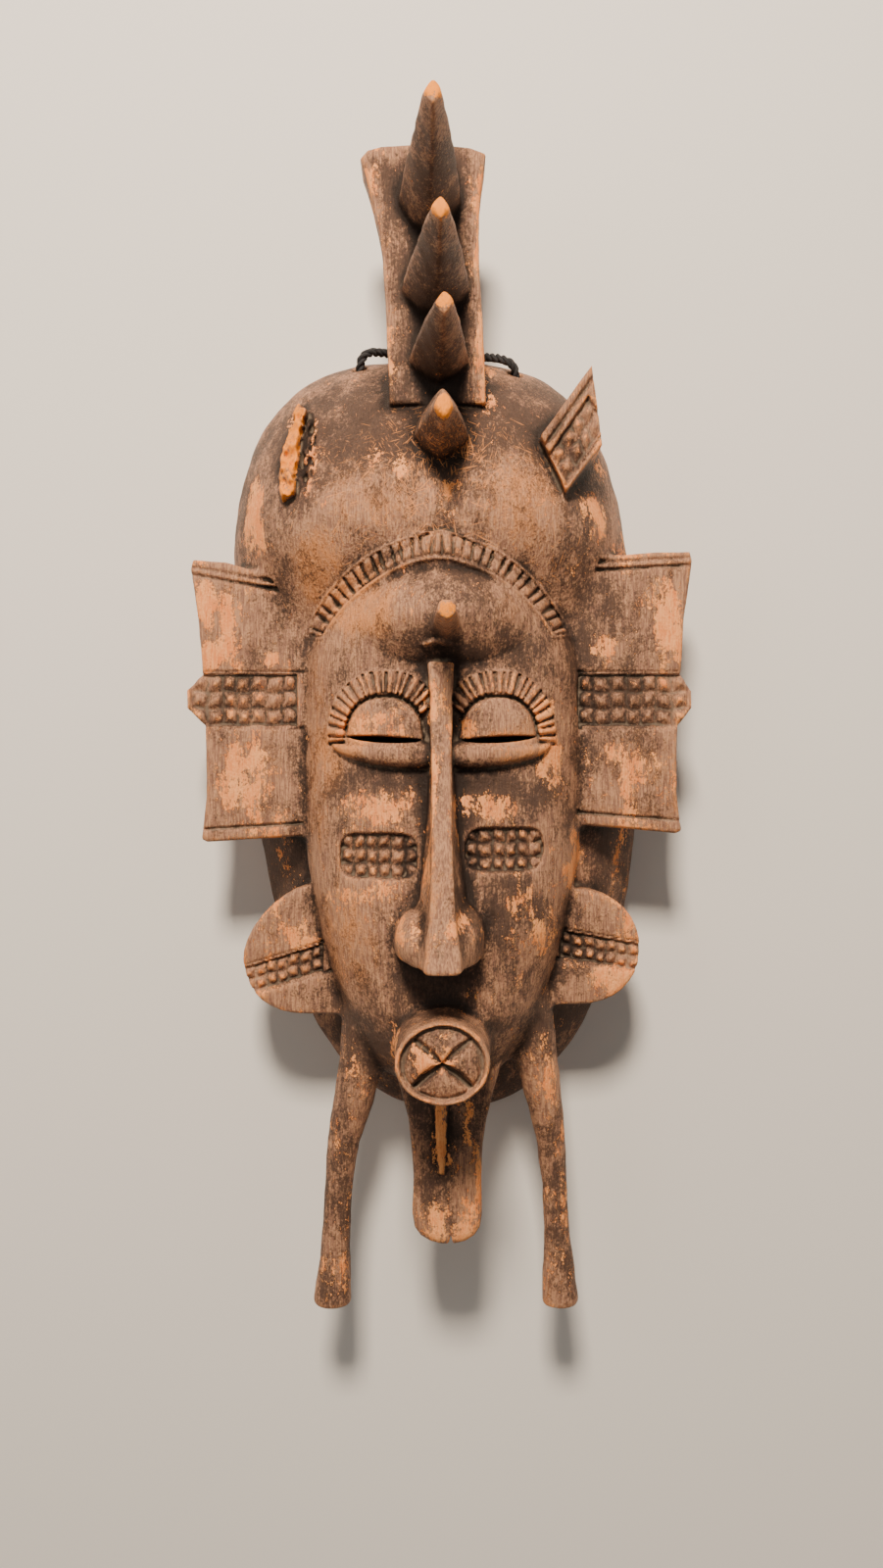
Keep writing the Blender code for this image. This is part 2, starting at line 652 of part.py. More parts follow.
def add_nose():
    """A long flat-topped ridge that rises to the tip, and a round lobe on each side."""
    rings = []
    for i in range(9):
        t = i / 8.0
        y = lerp(NOSE_TOP_Y, NOSE_END_Y, t)
        x = lerp(NOSE_X[0], NOSE_X[1], t)
        top = lerp(NOSE_TOP_Z, NOSE_END_Z, t ** 1.3)
        foot = along(FACE_LINE, y)[0] - EMBED
        wide = NOSE_HALF_WIDTH + lerp(NOSE_FOOT_SPREAD[0], NOSE_FOOT_SPREAD[1], t)
        ring = [(x - wide, y, foot), (x - NOSE_HALF_WIDTH, y, top - 1.0 * MM),
                (x - NOSE_HALF_WIDTH + 1.0 * MM, y, top), (x + NOSE_HALF_WIDTH - 1.0 * MM, y, top),
                (x + NOSE_HALF_WIDTH, y, top - 1.0 * MM), (x + wide, y, foot)]
        rings.append(ring)
    loft("nose_ridge", rings)
    for side in (-1, 1):
        tag = "right" if side > 0 else "left"
        ball(f"nostril_{tag}", (NOSE_X[1] + side * NOSTRIL_X, NOSTRIL_Y, NOSTRIL_Z), NOSTRIL_SIZE, 12, 8)


def eye_arc(side, size, steps, start=math.radians(-2.0), end=math.radians(122.0)):
    """Places on the brow's arc, from the temple to the nose."""
    places = []
    for i in range(steps + 1):
        angle = lerp(start, end, i / steps)
        places.append((side * (EYE_X + size[0] * math.cos(angle)), EYE_Y + size[1] * math.sin(angle)))
    return places


def add_eye(side):
    """One eye: notched brow, lid, slit right through, and the roll under the slit."""
    tag = "right" if side > 0 else "left"
    outer, inner = BROW_OUTER, BROW_INNER
    rings = []
    foot = (inner[0] - EMBED, inner[1] - EMBED)
    for far, near, under in zip(eye_arc(side, outer, 9), eye_arc(side, inner, 9), eye_arc(side, foot, 9)):
        low_far, low_near = skin_height(*far), skin_height(*near)
        rings.append(((*far, low_far - EMBED), (*far, low_far + BROW_RISE * BROW_FAR_SHARE),
                      (*near, low_near + BROW_RISE), (*under, skin_height(*under) - EMBED)))
    loft(f"brow_{tag}", rings)
    past = BROW_NOTCH_WIDTH / 2.0
    notch_outer, notch_inner = (outer[0] + past, outer[1] + past), (inner[0] - past, inner[1] - past)
    notch_starts = eye_arc(side, notch_outer, BROW_NOTCHES + 1)[1:-1]
    notch_ends = eye_arc(side, notch_inner, BROW_NOTCHES + 1)[1:-1]
    for i, (far, near) in enumerate(zip(notch_starts, notch_ends)):
        points = [Vector((*far, skin_height(*far) + BROW_RISE * BROW_FAR_SHARE)),
                  Vector((*near, skin_height(*near) + BROW_RISE))]
        groove(f"brow_{tag}_notch_{i}", points, [skin_normal(*far), skin_normal(*near)],
               BROW_NOTCH_WIDTH, BROW_NOTCH_DEPTH)
    middle = skin_height(side * EYE_X, EYE_Y)
    tilt = Matrix.Rotation(side * math.radians(8.0), 4, "Y")
    ball(f"lid_{tag}", (side * EYE_X, EYE_Y, middle - LID_SINK), LID_SIZE, 16, 8, tilt)
    rings = []
    for i in range(9):
        t = lerp(-1.0, 1.0, i / 8.0)
        x = side * EYE_X + t * LOWER_LID_LENGTH / 2.0
        radius = LOWER_LID_RADIUS * round_off(t * 0.93, 2.0, 2.0)
        y = EYE_Y - SLIT_HEIGHT / 2.0 - radius - LOWER_LID_SAG * 0.35 * (1.0 - t * t)
        z = skin_height(x, y) + radius * 0.5
        rings.append([(x, y + radius * 1.25 * math.cos(a), z + radius * 1.2 * math.sin(a))
                      for a in (math.tau * k / 8.0 for k in range(8))])
    loft(f"lower_lid_{tag}", rings)
    rings = []
    for i in range(7):
        t = lerp(-1.0, 1.0, i / 6.0)
        x = side * EYE_X + t * SLIT_LENGTH / 2.0
        half = max(0.3 * MM, SLIT_HEIGHT / 2.0 * round_off(t, 2.0, 2.0))
        y = EYE_Y + 0.4 * MM * (1.0 - t * t)
        rings.append([(x, y - half, 0.0), (x, y + half, 0.0), (x, y + half, NOSE_END_Z),
                      (x, y - half, NOSE_END_Z)])
    loft(f"slit_{tag}", rings, "cut_forms")


def add_mouth():
    """A short tube with a rounded rim and a domed disc in it, cut crosswise."""
    profile = (  # share of the size, and height over MOUTH_Z in millimetres
        (0.30, 1.1), (0.62, 0.3), (0.80, -1.0), (0.86, -1.6), (0.885, 0.0), (0.95, 0.5),
        (1.0, -0.4), (1.04, -8.0),
    )
    levels = [(radius, MOUTH_Z + drop * MM) for radius, drop in profile]
    levels.append((MOUTH_ROOT_SPREAD, face_height(MOUTH_X, MOUTH_Y) - MOUTH_ROOT_SINK))
    sides = 18
    rings = []
    for radius, z in levels:
        across, up = MOUTH_SIZE[0] * radius, MOUTH_SIZE[1] * radius
        rings.append([(MOUTH_X + across * math.cos(a), MOUTH_Y + up * math.sin(a), z)
                      for a in (math.tau * k / sides for k in range(sides))])
    loft("mouth", rings)
    reach = (MOUTH_SIZE[0] * 0.80, MOUTH_SIZE[1] * 0.78)
    for tag, sign in (("falling", -1), ("rising", 1)):
        points = [(MOUTH_X - reach[0], MOUTH_Y - sign * reach[1], MOUTH_Z - 0.6 * MM),
                  (MOUTH_X, MOUTH_Y, MOUTH_Z + 1.1 * MM),
                  (MOUTH_X + reach[0], MOUTH_Y + sign * reach[1], MOUTH_Z - 0.6 * MM)]
        groove(f"mouth_cut_{tag}", points, [Vector((0.0, 0.0, 1.0))] * 3, MOUTH_CUT_WIDTH, MOUTH_CUT_DEPTH)


def wing_outline(side):
    """The wing's outline, from its root along the top and back along the bottom."""
    i = 0 if side < 0 else 1
    top, bottom = WING_TOP_Y[i], WING_BOTTOM_Y[i]
    band_top, band_bottom = WING_BAND_Y
    bump = WING_REACH + WING_BUMP[i]
    places = [(WING_ROOT_X, top - WING_TOP_DROP[i])]
    places += [(lerp(WING_ROOT_X, WING_REACH, 0.75), top - WING_TOP_DROP[i] * 0.12)]
    places += [(WING_REACH + WING_TOP_FLARE, top - 0.4 * MM), (WING_REACH + WING_TOP_FLARE, top - 5.0 * MM)]
    places += [(WING_REACH + WING_TOP_FLARE * 0.4, lerp(top, band_top, 0.5))]
    places += [(WING_REACH, band_top + 0.6 * MM)]
    places += [(bump - 1.4 * MM, band_top - 4.2 * MM), (bump, band_top - 7.0 * MM)]
    places += [(bump, band_bottom + 6.0 * MM), (bump - 1.6 * MM, band_bottom + 2.6 * MM)]
    places += [(WING_REACH - 1.0 * MM, band_bottom - 0.4 * MM), (WING_REACH - 0.8 * MM, bottom + 7.0 * MM)]
    places += [(WING_REACH, bottom + 1.5 * MM), (WING_REACH - 1.4 * MM, bottom)]
    places += [(WING_ROOT_X, bottom + WING_BOTTOM_RISE[i])]
    return [(side * x, y) for x, y in places]


def add_wing(side):
    """A flat wing beside the eye, with a band of pyramids and a grooved top and bottom edge."""
    tag = "right" if side > 0 else "left"
    i = 0 if side < 0 else 1
    plate(f"wing_{tag}", wing_outline(side), WING_FRONT_Z, WING_THICKNESS)
    band_top, band_bottom = WING_BAND_Y
    inner = FACE_HALF_WIDTH + WING_BAND_GAP
    outer = WING_REACH - 1.6 * MM
    pyramids(f"wing_{tag}", (side * inner, band_top), (side * (outer - inner), 0.0),
             (0.0, band_bottom - band_top), WING_BAND_ROWS, WING_BAND_COLUMNS, WING_FRONT_Z)
    top, bottom = WING_TOP_Y[i], WING_BOTTOM_Y[i]
    reach = WING_REACH + WING_TOP_FLARE + 1.0 * MM
    for k, inset in enumerate((WING_MOULDING[0] * 0.5, WING_MOULDING[0])):
        flat_groove(f"wing_{tag}_top_{k}", (side * inner, top - WING_TOP_DROP[i] * 0.75 - inset),
                    (side * reach, top - inset), WING_FRONT_Z, GROOVE_WIDTH * 0.8)
    flat_groove(f"wing_{tag}_bottom", (side * inner, bottom + WING_BOTTOM_RISE[i] * 0.8 + WING_MOULDING[1]),
                (side * (WING_REACH + 1.0 * MM), bottom + WING_MOULDING[1]), WING_FRONT_Z)


def add_ear(side):
    """A round-ended tab beside the cheek, with a slanting band of pyramids."""
    tag = "right" if side > 0 else "left"
    i = 0 if side < 0 else 1
    places = [(EAR_ROOT_X, EAR_CENTRE_Y[i] + EAR_TOP_RISE[i] * 0.99)]
    for k in range(13):
        angle = lerp(math.radians(84.0), math.radians(-90.0), k / 12.0)
        c, s = abs(math.cos(angle)), math.sin(angle)
        rise, rounding = (EAR_TOP_RISE[i], EAR_TOP_ROUNDING[i]) if s > 0.0 else (EAR_SIZE[1], 0.9)
        x = EAR_CENTRE_X + EAR_SIZE[0] * c ** rounding
        places.append((x, EAR_CENTRE_Y[i] + rise * math.copysign(abs(s) ** rounding, s)))
    places.append((EAR_ROOT_X, EAR_CENTRE_Y[i] - EAR_SIZE[1]))
    plate(f"ear_{tag}", [(side * x, y) for x, y in places], EAR_FRONT_Z, EAR_THICKNESS)
    slope = EAR_BAND_SLOPE[i]
    start = Vector((side * (EAR_CENTRE_X - 3.5 * MM), EAR_BAND_Y[i] + EAR_BAND_HEIGHT / 2.0))
    reach = EAR_SIZE[0] * EAR_BAND_REACH
    way = Vector((side * reach, -math.tan(slope) * reach))
    down = (0.0, -EAR_BAND_HEIGHT)
    pyramids(f"ear_{tag}", start, way, down, EAR_BAND_ROWS, EAR_BAND_COLUMNS, EAR_FRONT_Z, True)


def crest_centre(y):
    """The crest leans to the left as the shell does."""
    t = (y - CREST_FOOT_Y) / (CREST_TOP_Y - CREST_FOOT_Y)
    return lerp(CREST_LEAN_X[0], CREST_LEAN_X[1], t * t * 0.6 + t * 0.4)


def crest_half_width(y):
    """The crest flares towards its top."""
    t = max(0.0, (y - CREST_FLARE_FROM_Y) / (CREST_TOP_Y - CREST_FLARE_FROM_Y))
    return CREST_HALF_WIDTH + CREST_FLARE * t * t


def add_crest():
    """The upright plate on top of the shell, chipped at one corner."""
    levels = [lerp(CREST_FOOT_Y, CREST_TOP_Y - CREST_TOP_BOW * 1.6, i / 6.0) for i in range(7)]
    left = [(crest_centre(y) - crest_half_width(y), y) for y in levels]
    right = [(crest_centre(y) + crest_half_width(y), y) for y in levels]
    top_centre = crest_centre(CREST_TOP_Y)
    half = crest_half_width(CREST_TOP_Y)
    top = [(top_centre - half * 0.72, CREST_TOP_Y - CREST_TOP_BOW * 0.35), (top_centre, CREST_TOP_Y),
           (top_centre + half * 0.72, CREST_TOP_Y - CREST_TOP_BOW * 0.55)]
    plate("crest_plate", left + top + right[::-1], CREST_FRONT_Z, CREST_THICKNESS)


def add_horns():
    """Four horns in a row up the crest, each with a ridge to the front and a blunt worn tip."""
    for i, (x, y, half_x, half_y, foot_z, tip_x, tip_y, tip_z) in enumerate(HORNS):
        rings = []
        for k in range(6):
            t = k / 5.0
            swell = (1.0 - t ** HORN_BELLY)
            wide = lerp(HORN_TIP_SIZE[0], half_x, swell)
            high = lerp(HORN_TIP_SIZE[1], half_y, swell)
            centre = (lerp(x, tip_x, t), lerp(y, tip_y, t))
            z = lerp(foot_z, tip_z, t)
            ring = []
            for a in (math.tau * n / 8.0 for n in range(8)):
                c, s = math.cos(a), math.sin(a)
                ring.append((centre[0] + wide * math.copysign(abs(c) ** 1.2, c),
                             centre[1] + high * math.copysign(abs(s) ** 1.2, s), z))
            rings.append(ring)
        loft(f"horn_{i + 1}", rings)


def add_beard():
    """The tongue-shaped beard under the mouth, with a thin raised strip down its middle."""
    waist = lerp(BEARD_TOP_Y, BEARD_BOTTOM_Y, 0.45)
    rows = [(BEARD_TOP_Y, BEARD_TOP_HALF_WIDTH), (lerp(BEARD_TOP_Y, waist, 0.5), BEARD_HALF_WIDTH * 1.16),
            (waist, BEARD_HALF_WIDTH), (lerp(waist, BEARD_BOTTOM_Y, 0.4), BEARD_HALF_WIDTH * 0.94),
            (lerp(waist, BEARD_BOTTOM_Y, 0.72), BEARD_HALF_WIDTH * 0.97)]
    end = lerp(waist, BEARD_BOTTOM_Y, 0.72)
    arc = []
    for k in range(1, 6):
        angle = math.pi * k / 6.0
        arc.append((BEARD_X + BEARD_HALF_WIDTH * 0.97 * math.cos(angle), end + (BEARD_BOTTOM_Y - end)
                    * math.sin(angle) ** 0.8))
    right = [(BEARD_X + half, y) for y, half in rows]
    left = [(BEARD_X - half, y) for y, half in rows]
    plate("beard", right + arc + left[::-1], BEARD_FRONT_Z, BEARD_THICKNESS, PLATE_EDGE * 2.0)
    x = BEARD_X - 1.9 * MM
    under, over = BEARD_FRONT_Z - EMBED, BEARD_FRONT_Z + BEARD_STRIP_RISE
    rings = []
    for y, width in zip(BEARD_STRIP_Y, BEARD_STRIP_WIDTH):
        half = width / 2.0
        rings.append(((x - half, y, under), (x - half, y, over), (x + half, y, over), (x + half, y, under)))
    loft("beard_strip", rings)


def add_leg(name, stations):
    """A round leg through its stations, down to a flared foot."""
    rings = []
    for y, x, half in stations:
        rings.append([(x + half * math.cos(a), y, LEG_Z + half * 0.95 * math.sin(a))
                      for a in (math.tau * k / 10.0 for k in range(10))])
    loft(name, rings)


def add_cheek(side):
    """A sunk patch of small pyramids on the cheek."""
    tag = "right" if side > 0 else "left"
    top, bottom = CHEEK_Y[0 if side < 0 else 1]
    near, far = CHEEK_X
    row_pitch = (top - bottom) / CHEEK_ROWS
    column_pitch = (far - near) / CHEEK_COLUMNS
    for i in range(CHEEK_ROWS + 1):
        y = top - row_pitch * i
        skin_groove(f"cheek_{tag}_row_{i}", straight((side * near, y), (side * far, y), 2),
                    row_pitch - PYRAMID_TOP, PYRAMID_DEPTH)
    for i in range(CHEEK_COLUMNS + 1):
        x = side * (near + column_pitch * i)
        skin_groove(f"cheek_{tag}_column_{i}", ((x, top), (x, bottom)), column_pitch - PYRAMID_TOP,
                    PYRAMID_DEPTH)


def add_lozenge():
    """The flap on the right of the dome, bordered, with pyramids inside the border."""
    corners = [Vector((share * SHELL_HALF_WIDTH, y)) for share, y in LOZENGE]
    left, top, right, bottom = corners
    centre = (left + top + right + bottom) / 4.0
    front_z = shell_height(*centre) + LOZENGE_RISE
    plate("lozenge_flap", [tuple(corner) for corner in corners], front_z, LOZENGE_RISE + LOZENGE_SINK,
          PLATE_EDGE * 0.5)
    along_edge = (top - left).normalized()
    across = (bottom - left).normalized()
    start = left + along_edge * LOZENGE_BORDER * 1.6 + across * LOZENGE_BORDER * 1.4
    row_way = (bottom - left) - across * LOZENGE_BORDER * 2.8
    column_way = (right - bottom) - along_edge * LOZENGE_BORDER * 2.8
    pyramids("lozenge", start, column_way, row_way, LOZENGE_COLUMNS, LOZENGE_ROWS, front_z, True)


def add_stump():
    """The rough stump where the left flap broke away."""
    rings = []
    for i in range(8):
        t = i / 7.0
        x = lerp(STUMP_TOP[0], STUMP_BOTTOM[0], t) * SHELL_HALF_WIDTH - STUMP_BOW * 4.0 * t * (1.0 - t)
        y = lerp(STUMP_TOP[1], STUMP_BOTTOM[1], t)
        half = STUMP_HALF_WIDTH * round_off(2.0 * t - 1.0, 2.0, 2.0) + 0.7 * MM
        rise = STUMP_RISE * (0.75 + 0.25 * math.sin(9.0 * t))
        left, right = skin_height(x - half, y), skin_height(x + half, y)
        foot = min(left, right) - EMBED
        crown = skin_height(x, y) + rise
        rings.append(((x - half, y, foot), (x - half * 0.8, y, left + rise * 0.8),
                      (x + half * 0.4, y, crown), (x + half, y, right), (x + half, y, foot)))
    loft("stump", rings)


def make_material(name, colour, roughness):
    """A plain material in the part's colour."""
    material = bpy.data.materials.new(name)
    material.use_nodes = True
    shader = material.node_tree.nodes["Principled BSDF"]
    shader.inputs["Base Color"].default_value = (*colour, 1.0)
    shader.inputs["Roughness"].default_value = roughness
    shader.inputs["Metallic"].default_value = 0.0
    return material


def join_forms(mask):
    """Join the added forms to the shell, then take the cuts away."""
    for name, operation, group in (("Join carved forms", "UNION", "added_forms"),
                                   ("Take cuts away", "DIFFERENCE", "cut_forms")):
        modifier = mask.modifiers.new(name, "BOOLEAN")
        modifier.operation = operation
        modifier.operand_type = "COLLECTION"
        modifier.collection = COLLECTIONS[group]
        modifier.solver = "EXACT"
        modifier.use_self = False


def smooth_route(route, spacing):
    """Points at about the given spacing on a smooth curve through the route's own points."""
    route = [Vector(point) for point in route]
    fine = []
    for i in range(len(route) - 1):
        before = route[max(i - 1, 0)]
        start, end = route[i], route[i + 1]
        after = route[min(i + 2, len(route) - 1)]
        for k in range(8):
            t = k / 8.0
            fine.append(0.5 * (2.0 * start + (end - before) * t
                               + (2.0 * before - 5.0 * start + 4.0 * end - after) * t * t
                               + (3.0 * start - before - 3.0 * end + after) * t ** 3))
    fine.append(route[-1])
    lengths = [0.0]
    for a, b in zip(fine, fine[1:]):
        lengths.append(lengths[-1] + (b - a).length)
    count = round(lengths[-1] / spacing)
    places, k = [], 0
    for i in range(count + 1):
        wanted = lengths[-1] * i / count
        while k < len(fine) - 2 and lengths[k + 1] < wanted:
            k += 1
        t = (wanted - lengths[k]) / (lengths[k + 1] - lengths[k])
        places.append(fine[k].lerp(fine[k + 1], t))
    return places


def cut_cord_holes():
    """Two slanting holes through the top of the shell, in line with the cord."""
    radius = CORD_HOLE_DIAMETER / 2.0
    for tag, (start, end) in zip(("left", "right"), CORD_HOLES):
        rod(f"cord_hole_{tag}", start, end, radius, radius, 10, "cut_forms")


def build_cord():
    """The hanging cord, and the knot on each of its ends inside the shell."""
    curve = bpy.data.curves.new("hanging_cord", "CURVE")
    curve.dimensions = "3D"
    curve.bevel_depth = CORD_DIAMETER / 2.0
    curve.bevel_resolution = 2
    curve.use_fill_caps = True
    places = smooth_route(CORD_ROUTE, CORD_POINT_SPACING)
    spline = curve.splines.new("POLY")
    spline.points.add(len(places) - 1)
    for point, place in zip(spline.points, places):
        point.co = (*place, 1.0)
    material = make_material("black twisted cord", (0.012, 0.011, 0.010), 0.8)
    curve.materials.append(material)
    cord = keep("hanging_cord", curve, "senufo_kpelie_mask")
    reach = KNOT_DIAMETER / 2.0 + TOUCH_GAP
    for tag, end, before in (("left", 0, 1), ("right", -1, -2)):
        way = (places[end] - places[before]).normalized()
        centre = places[end] + way * reach
        knot = ball(f"cord_knot_{tag}", centre, (KNOT_DIAMETER / 2.0,) * 3, 8, 6, None, "senufo_kpelie_mask")
        knot.data.materials.append(material)
        knot.data.shade_smooth()
    return cord


def build_mask():
    """The whole carving as one solid."""
    mask = add_shell()
    add_face()
    add_arch()
    add_peg()
    add_nose()
    for side in (-1, 1):
        add_eye(side)
        add_wing(side)
        add_ear(side)
        add_cheek(side)
    add_mouth()
    add_crest()
    add_horns()
    add_beard()
    add_leg("leg_left", LEFT_LEG)
    add_leg("leg_right", RIGHT_LEG)
    add_lozenge()
    add_stump()
    cut_cord_holes()
    join_forms(mask)
    mask.data.materials.append(make_material("dark patinated wood", (0.090, 0.047, 0.028), 0.62))
    return mask


build_mask()
build_cord()
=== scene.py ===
"""Looks of a carved wooden face mask with a horned crest, lying face up on the rim of its hollow back.

Sizes are in millimetres in the mask's own places: x from the middle of the face, y up the face from a
level just under the eyes, z out of the face from the plane of the back rim. SHIFT moves them into the
frame, whose origin is under the middle of the mask's box.
"""

import logging  # noqa: E402
import math  # noqa: E402
from dataclasses import dataclass, field  # noqa: E402
from enum import Enum  # noqa: E402

import bpy  # noqa: E402
import numpy as np  # noqa: E402
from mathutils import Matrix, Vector  # noqa: E402

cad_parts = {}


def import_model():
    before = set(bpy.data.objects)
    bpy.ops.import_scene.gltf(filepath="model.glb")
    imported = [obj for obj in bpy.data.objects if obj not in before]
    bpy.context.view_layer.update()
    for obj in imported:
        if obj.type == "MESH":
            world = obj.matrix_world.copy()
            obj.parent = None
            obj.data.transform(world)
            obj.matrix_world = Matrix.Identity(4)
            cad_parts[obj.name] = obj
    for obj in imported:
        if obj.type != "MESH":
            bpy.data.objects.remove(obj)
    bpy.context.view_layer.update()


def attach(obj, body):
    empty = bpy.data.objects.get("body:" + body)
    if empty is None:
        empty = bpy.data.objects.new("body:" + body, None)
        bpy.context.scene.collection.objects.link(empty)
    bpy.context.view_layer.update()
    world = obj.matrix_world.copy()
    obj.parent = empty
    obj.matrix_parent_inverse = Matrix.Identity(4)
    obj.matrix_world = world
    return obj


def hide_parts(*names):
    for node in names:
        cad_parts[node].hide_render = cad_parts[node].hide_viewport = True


LOG = logging.getLogger("kpelie_mask")

MM = 0.001
SHIFT = (0.6, -16.2, 0.0)
# The box that no point of the carving leaves, a hair inside that of the solids
BOX_LOW = (-80.95, -166.55, 0.0)
BOX_HIGH = (79.75, 198.95, 94.95)
# Spacing of the grid that the mask is carved on
FINE_STEP = 0.55
# A distance that is surely outside the wood
AIR = 30.0

Numbers = np.ndarray
Point = tuple[float, float, float]
Place = tuple[float, float]
Rgb = tuple[float, float, float, float]
Socket = bpy.types.NodeSocket


class Side(Enum):
    """A side of the mask, as seen from the front."""

    LEFT = -1
    RIGHT = 1


# Small laws of shape


def lerp(a: Numbers | float, b: Numbers | float, t: Numbers | float) -> Numbers | float:
    """The value a share t of the way from a to b."""
    return a + (b - a) * t


def ease(t: Numbers | float) -> Numbers | float:
    """A share from 0 to 1 with a soft start and end."""
    t = np.clip(t, 0.0, 1.0)
    return t * t * (3.0 - 2.0 * t)


def hump(t: Numbers | float) -> Numbers | float:
    """0 at either end of a share from 0 to 1, and 1 halfway."""
    return np.maximum(np.sin(np.pi * np.clip(t, 0.0, 1.0)), 0.0)


def round_off(u: Numbers | float, power: float, root: float) -> Numbers | float:
    """1 in the middle, falling to 0 at u = 1, as a superellipse does."""
    return np.maximum(0.0, 1.0 - np.minimum(np.abs(u), 1.0) ** power) ** (1.0 / root)


def soft_min(a: Numbers, b: Numbers, blend: float) -> Numbers:
    """The lesser of two fields, with a fillet of about the given size where they meet."""
    near = np.maximum(blend - np.abs(a - b), 0.0) / blend
    return np.minimum(a, b) - near * near * (blend / 4.0)


def soft_max(a: Numbers, b: Numbers, blend: float) -> Numbers:
    """The greater of two fields, with a rounded edge of about the given size where they meet."""
    return -soft_min(-a, -b, blend)


def waver(x: Numbers, y: Numbers, z: Numbers | float, wavelength: float, seed: float) -> Numbers:
    """A slow unevenness between about -1 and 1, as a knife leaves it.

    Args:
        x: Places along X.
        y: Places along Y.
        z: Places along Z.
        wavelength: Length of the longest wave in millimetres.
        seed: A number that shifts the waves.

    Returns:
        The unevenness at each place.
    """
    k = math.tau / wavelength
    total = np.sin(k * (x + 0.41 * y + 0.23 * z) + 1.3 * seed)
    total = total + np.sin(k * (-0.47 * x + 1.13 * y - 0.35 * z) + 2.1 * seed)
    total = total + 0.7 * np.sin(k * (1.71 * x - 0.83 * y + 1.37 * z) + 3.7 * seed)
    total = total + 0.5 * np.sin(k * (0.97 * x + 2.31 * y + 1.9 * z) + 0.9 * seed)
    return total / 3.2


def grain(x: Numbers, y: Numbers, cell: Place, seed: int) -> Numbers:
    """Unevenness between -1 and 1 that changes about once a cell, as broken fibres do.

    Args:
        x: Places along X.
        y: Places along Y.
        cell: Size of a cell along X and Y in millimetres.
        seed: The seed of its random draws.

    Returns:
        The unevenness at each place.
    """
    cells = 97
    draws = np.random.default_rng(seed).uniform(-1.0, 1.0, (cells, cells))
    u, v = np.broadcast_arrays(x / cell[0] + 10.0 * cells, y / cell[1] + 10.0 * cells)
    i, j = np.floor(u).astype(int), np.floor(v).astype(int)
    s, t = ease(u - i), ease(v - j)
    i, j, k, m = i % cells, j % cells, (i + 1) % cells, (j + 1) % cells
    return lerp(lerp(draws[i, j], draws[k, j], s), lerp(draws[i, m], draws[k, m], s), t)


def notch(gap: Numbers) -> Numbers:
    """Share of a notch's depth at a distance from its middle: a narrow flat floor, then slanting walls."""
    half, wall = 0.72, 0.55
    return np.clip((half - gap) / wall, 0.0, 1.0)


def true_distance(shape: Numbers, step: float) -> Numbers:
    """A field that is zero on a surface, scaled to read as a distance from it."""
    slopes = np.gradient(shape, step)
    return shape / np.sqrt(np.maximum(sum(s * s for s in slopes), 1e-6))


def outline_distance(x: Numbers, y: Numbers, outline: list[Place]) -> Numbers:
    """Signed distance to a closed outline, below zero inside.

    Args:
        x: Places along X.
        y: Places along Y.
        outline: The outline's corners.

    Returns:
        The distance at each place.
    """
    tiny = 1e-9
    nearest = np.full(np.broadcast(x, y).shape, 1e9)
    inside = np.zeros(nearest.shape, bool)
    for (ax, ay), (bx, by) in zip(outline, outline[1:] + outline[:1]):
        ex, ey = bx - ax, by - ay
        t = np.clip(((x - ax) * ex + (y - ay) * ey) / (ex * ex + ey * ey + tiny), 0.0, 1.0)
        nearest = np.minimum(nearest, (x - ax - ex * t) ** 2 + (y - ay - ey * t) ** 2)
        crosses = (ay <= y) != (by <= y)
        inside ^= crosses & (x < ax + (y - ay) * ex / (ey if abs(ey) > tiny else tiny))
    return np.where(inside, -1.0, 1.0) * np.sqrt(nearest)


@dataclass(frozen=True)
class Window:
    """A box-shaped part of the block, with the places of its grid points."""

    cut: tuple[slice, slice, slice]
    x: Numbers
    y: Numbers
    z: Numbers


